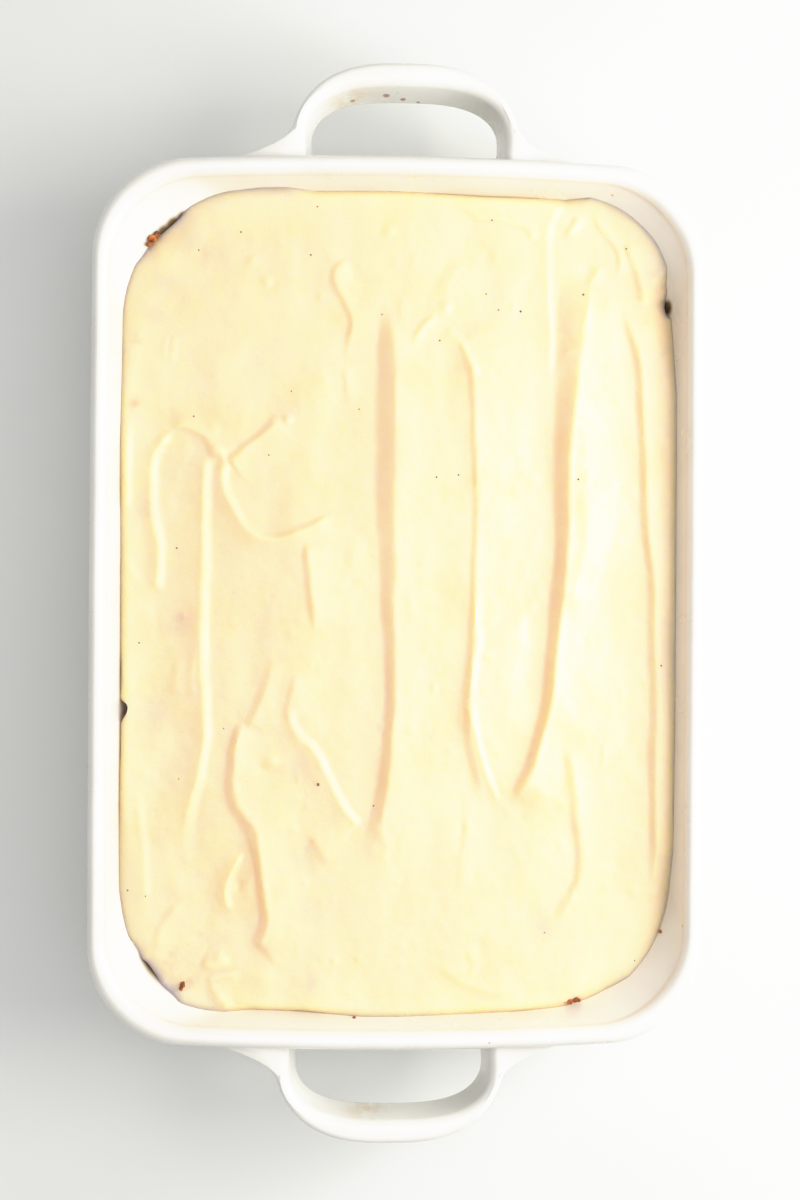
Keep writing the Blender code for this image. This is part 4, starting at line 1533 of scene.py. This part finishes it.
def make_crumb(place, size, seed):
    """One rough crumb, a little longer than it is wide."""
    bpy.ops.mesh.primitive_ico_sphere_add(subdivisions=4, radius=0.5, location=(0, 0, 0))
    crumb = bpy.context.object
    for vertex in crumb.data.vertices:
        spot = vertex.co * 2.2 + Vector((seed, 0.0, 0.0))
        vertex.co *= 1.0 + 0.45 * noise.noise(spot) + 0.22 * noise.noise(spot * 3.1)
        vertex.co.x *= 1.25
    turn = Euler((seed, seed * 1.3, seed * 2.1)).to_matrix().to_4x4()
    crumb.data.transform(Matrix.Translation(place) @ turn @ Matrix.Scale(size, 4))
    return crumb


crumbs = []
for (x, y, z), size in CRUMBS:
    crumbs.append(make_crumb(Vector((x, y, z)) * MM, size * MM, len(crumbs) * 2.3))
crumb_piece = join_pieces("mince_crumbs", crumbs)
crumb_piece.data.materials.append(mince)
bpy.ops.object.shade_smooth()
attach(crumb_piece, "root")


# The floor, the light and the camera. A plain pale floor, a soft light that comes low from the right as
# from a window, a wide one overhead, and a camera that looks straight down from 0.67 m above the food.

FLOOR_HALF = 3.0
FLOOR_GREY = (0.71, 0.718, 0.692, 1.0)
FLOOR_PALE = (0.745, 0.75, 0.727, 1.0)
# Name, place, size in metres, power in watts, and colour.
LIGHTS = (
    ("window_light", (0.54, 0.03, 0.40), (0.46, 0.58), 6.15, (1.0, 0.985, 0.96)),
    ("ceiling_light", (0.08, 0.0, 1.45), (1.7, 1.7), 12.2, (1.0, 0.99, 0.975)),
)
SKY = (0.97, 0.98, 1.0, 1.0)
SKY_STRENGTH = 0.41
FILM_SHOULDER = ((0.0, 0.0), (0.44, 0.88), (0.50, 0.94), (0.58, 0.975), (0.70, 0.99), (1.0, 1.0))
CAMERA_PLACE = (-0.0259, -0.0009, 0.7278)
CAMERA_TURN = (0.15, -2.29, 0.40)
FOCAL_LENGTH = 50.0
FRAME_HEIGHT = 36.0


def make_floor():
    """Pale and matt, with very faint clouds."""
    made, wire, shader = new_material("pale_floor", {"Roughness": 0.7})
    place = object_place(wire)
    clouds = between(wire, grain(wire, place, 3.5, 4.0), 0.40, 0.70)
    feed(shader, "Base Color", blend_colours(wire, clouds, FLOOR_GREY, FLOOR_PALE))
    return made


bpy.ops.object.select_all(action="DESELECT")
bpy.ops.mesh.primitive_plane_add(size=2 * FLOOR_HALF, location=(0, 0, 0))
floor = bpy.context.object
floor.name = "floor"
floor.data.materials.append(make_floor())

for name, place, size, power, colour in LIGHTS:
    bpy.ops.object.light_add(type="AREA", location=place)
    light = bpy.context.object
    light.name = name
    light.rotation_euler = Vector(place).to_track_quat("Z", "Y").to_euler()
    light.data.shape = "RECTANGLE"
    light.data.size, light.data.size_y = size
    light.data.energy = power
    light.data.color = colour

world = bpy.data.worlds.new("soft_sky")
world.use_nodes = True
sky = world.node_tree.nodes["Background"]
sky.inputs["Color"].default_value = SKY
sky.inputs["Strength"].default_value = SKY_STRENGTH
bpy.context.scene.world = world
view = bpy.context.scene.view_settings
view.view_transform = "Standard"
view.use_curve_mapping = True
view.curve_mapping.white_level = (2.0, 2.0, 2.0)
curve = view.curve_mapping.curves[3]
for place in FILM_SHOULDER[1:-1]:
    curve.points.new(*place)
for point in curve.points:
    point.handle_type = "VECTOR"
view.curve_mapping.update()

tilt_x, tilt_y, roll = (math.radians(angle) for angle in CAMERA_TURN)
turned = Euler((tilt_x, tilt_y, roll), "XYZ").to_matrix().to_4x4()
bpy.ops.object.camera_add()
camera = bpy.context.object
camera.name = "camera"
camera.matrix_world = Matrix.Translation(CAMERA_PLACE) @ turned
camera.data.lens = FOCAL_LENGTH
camera.data.sensor_fit = "VERTICAL"
camera.data.sensor_height = FRAME_HEIGHT
bpy.context.scene.camera = camera
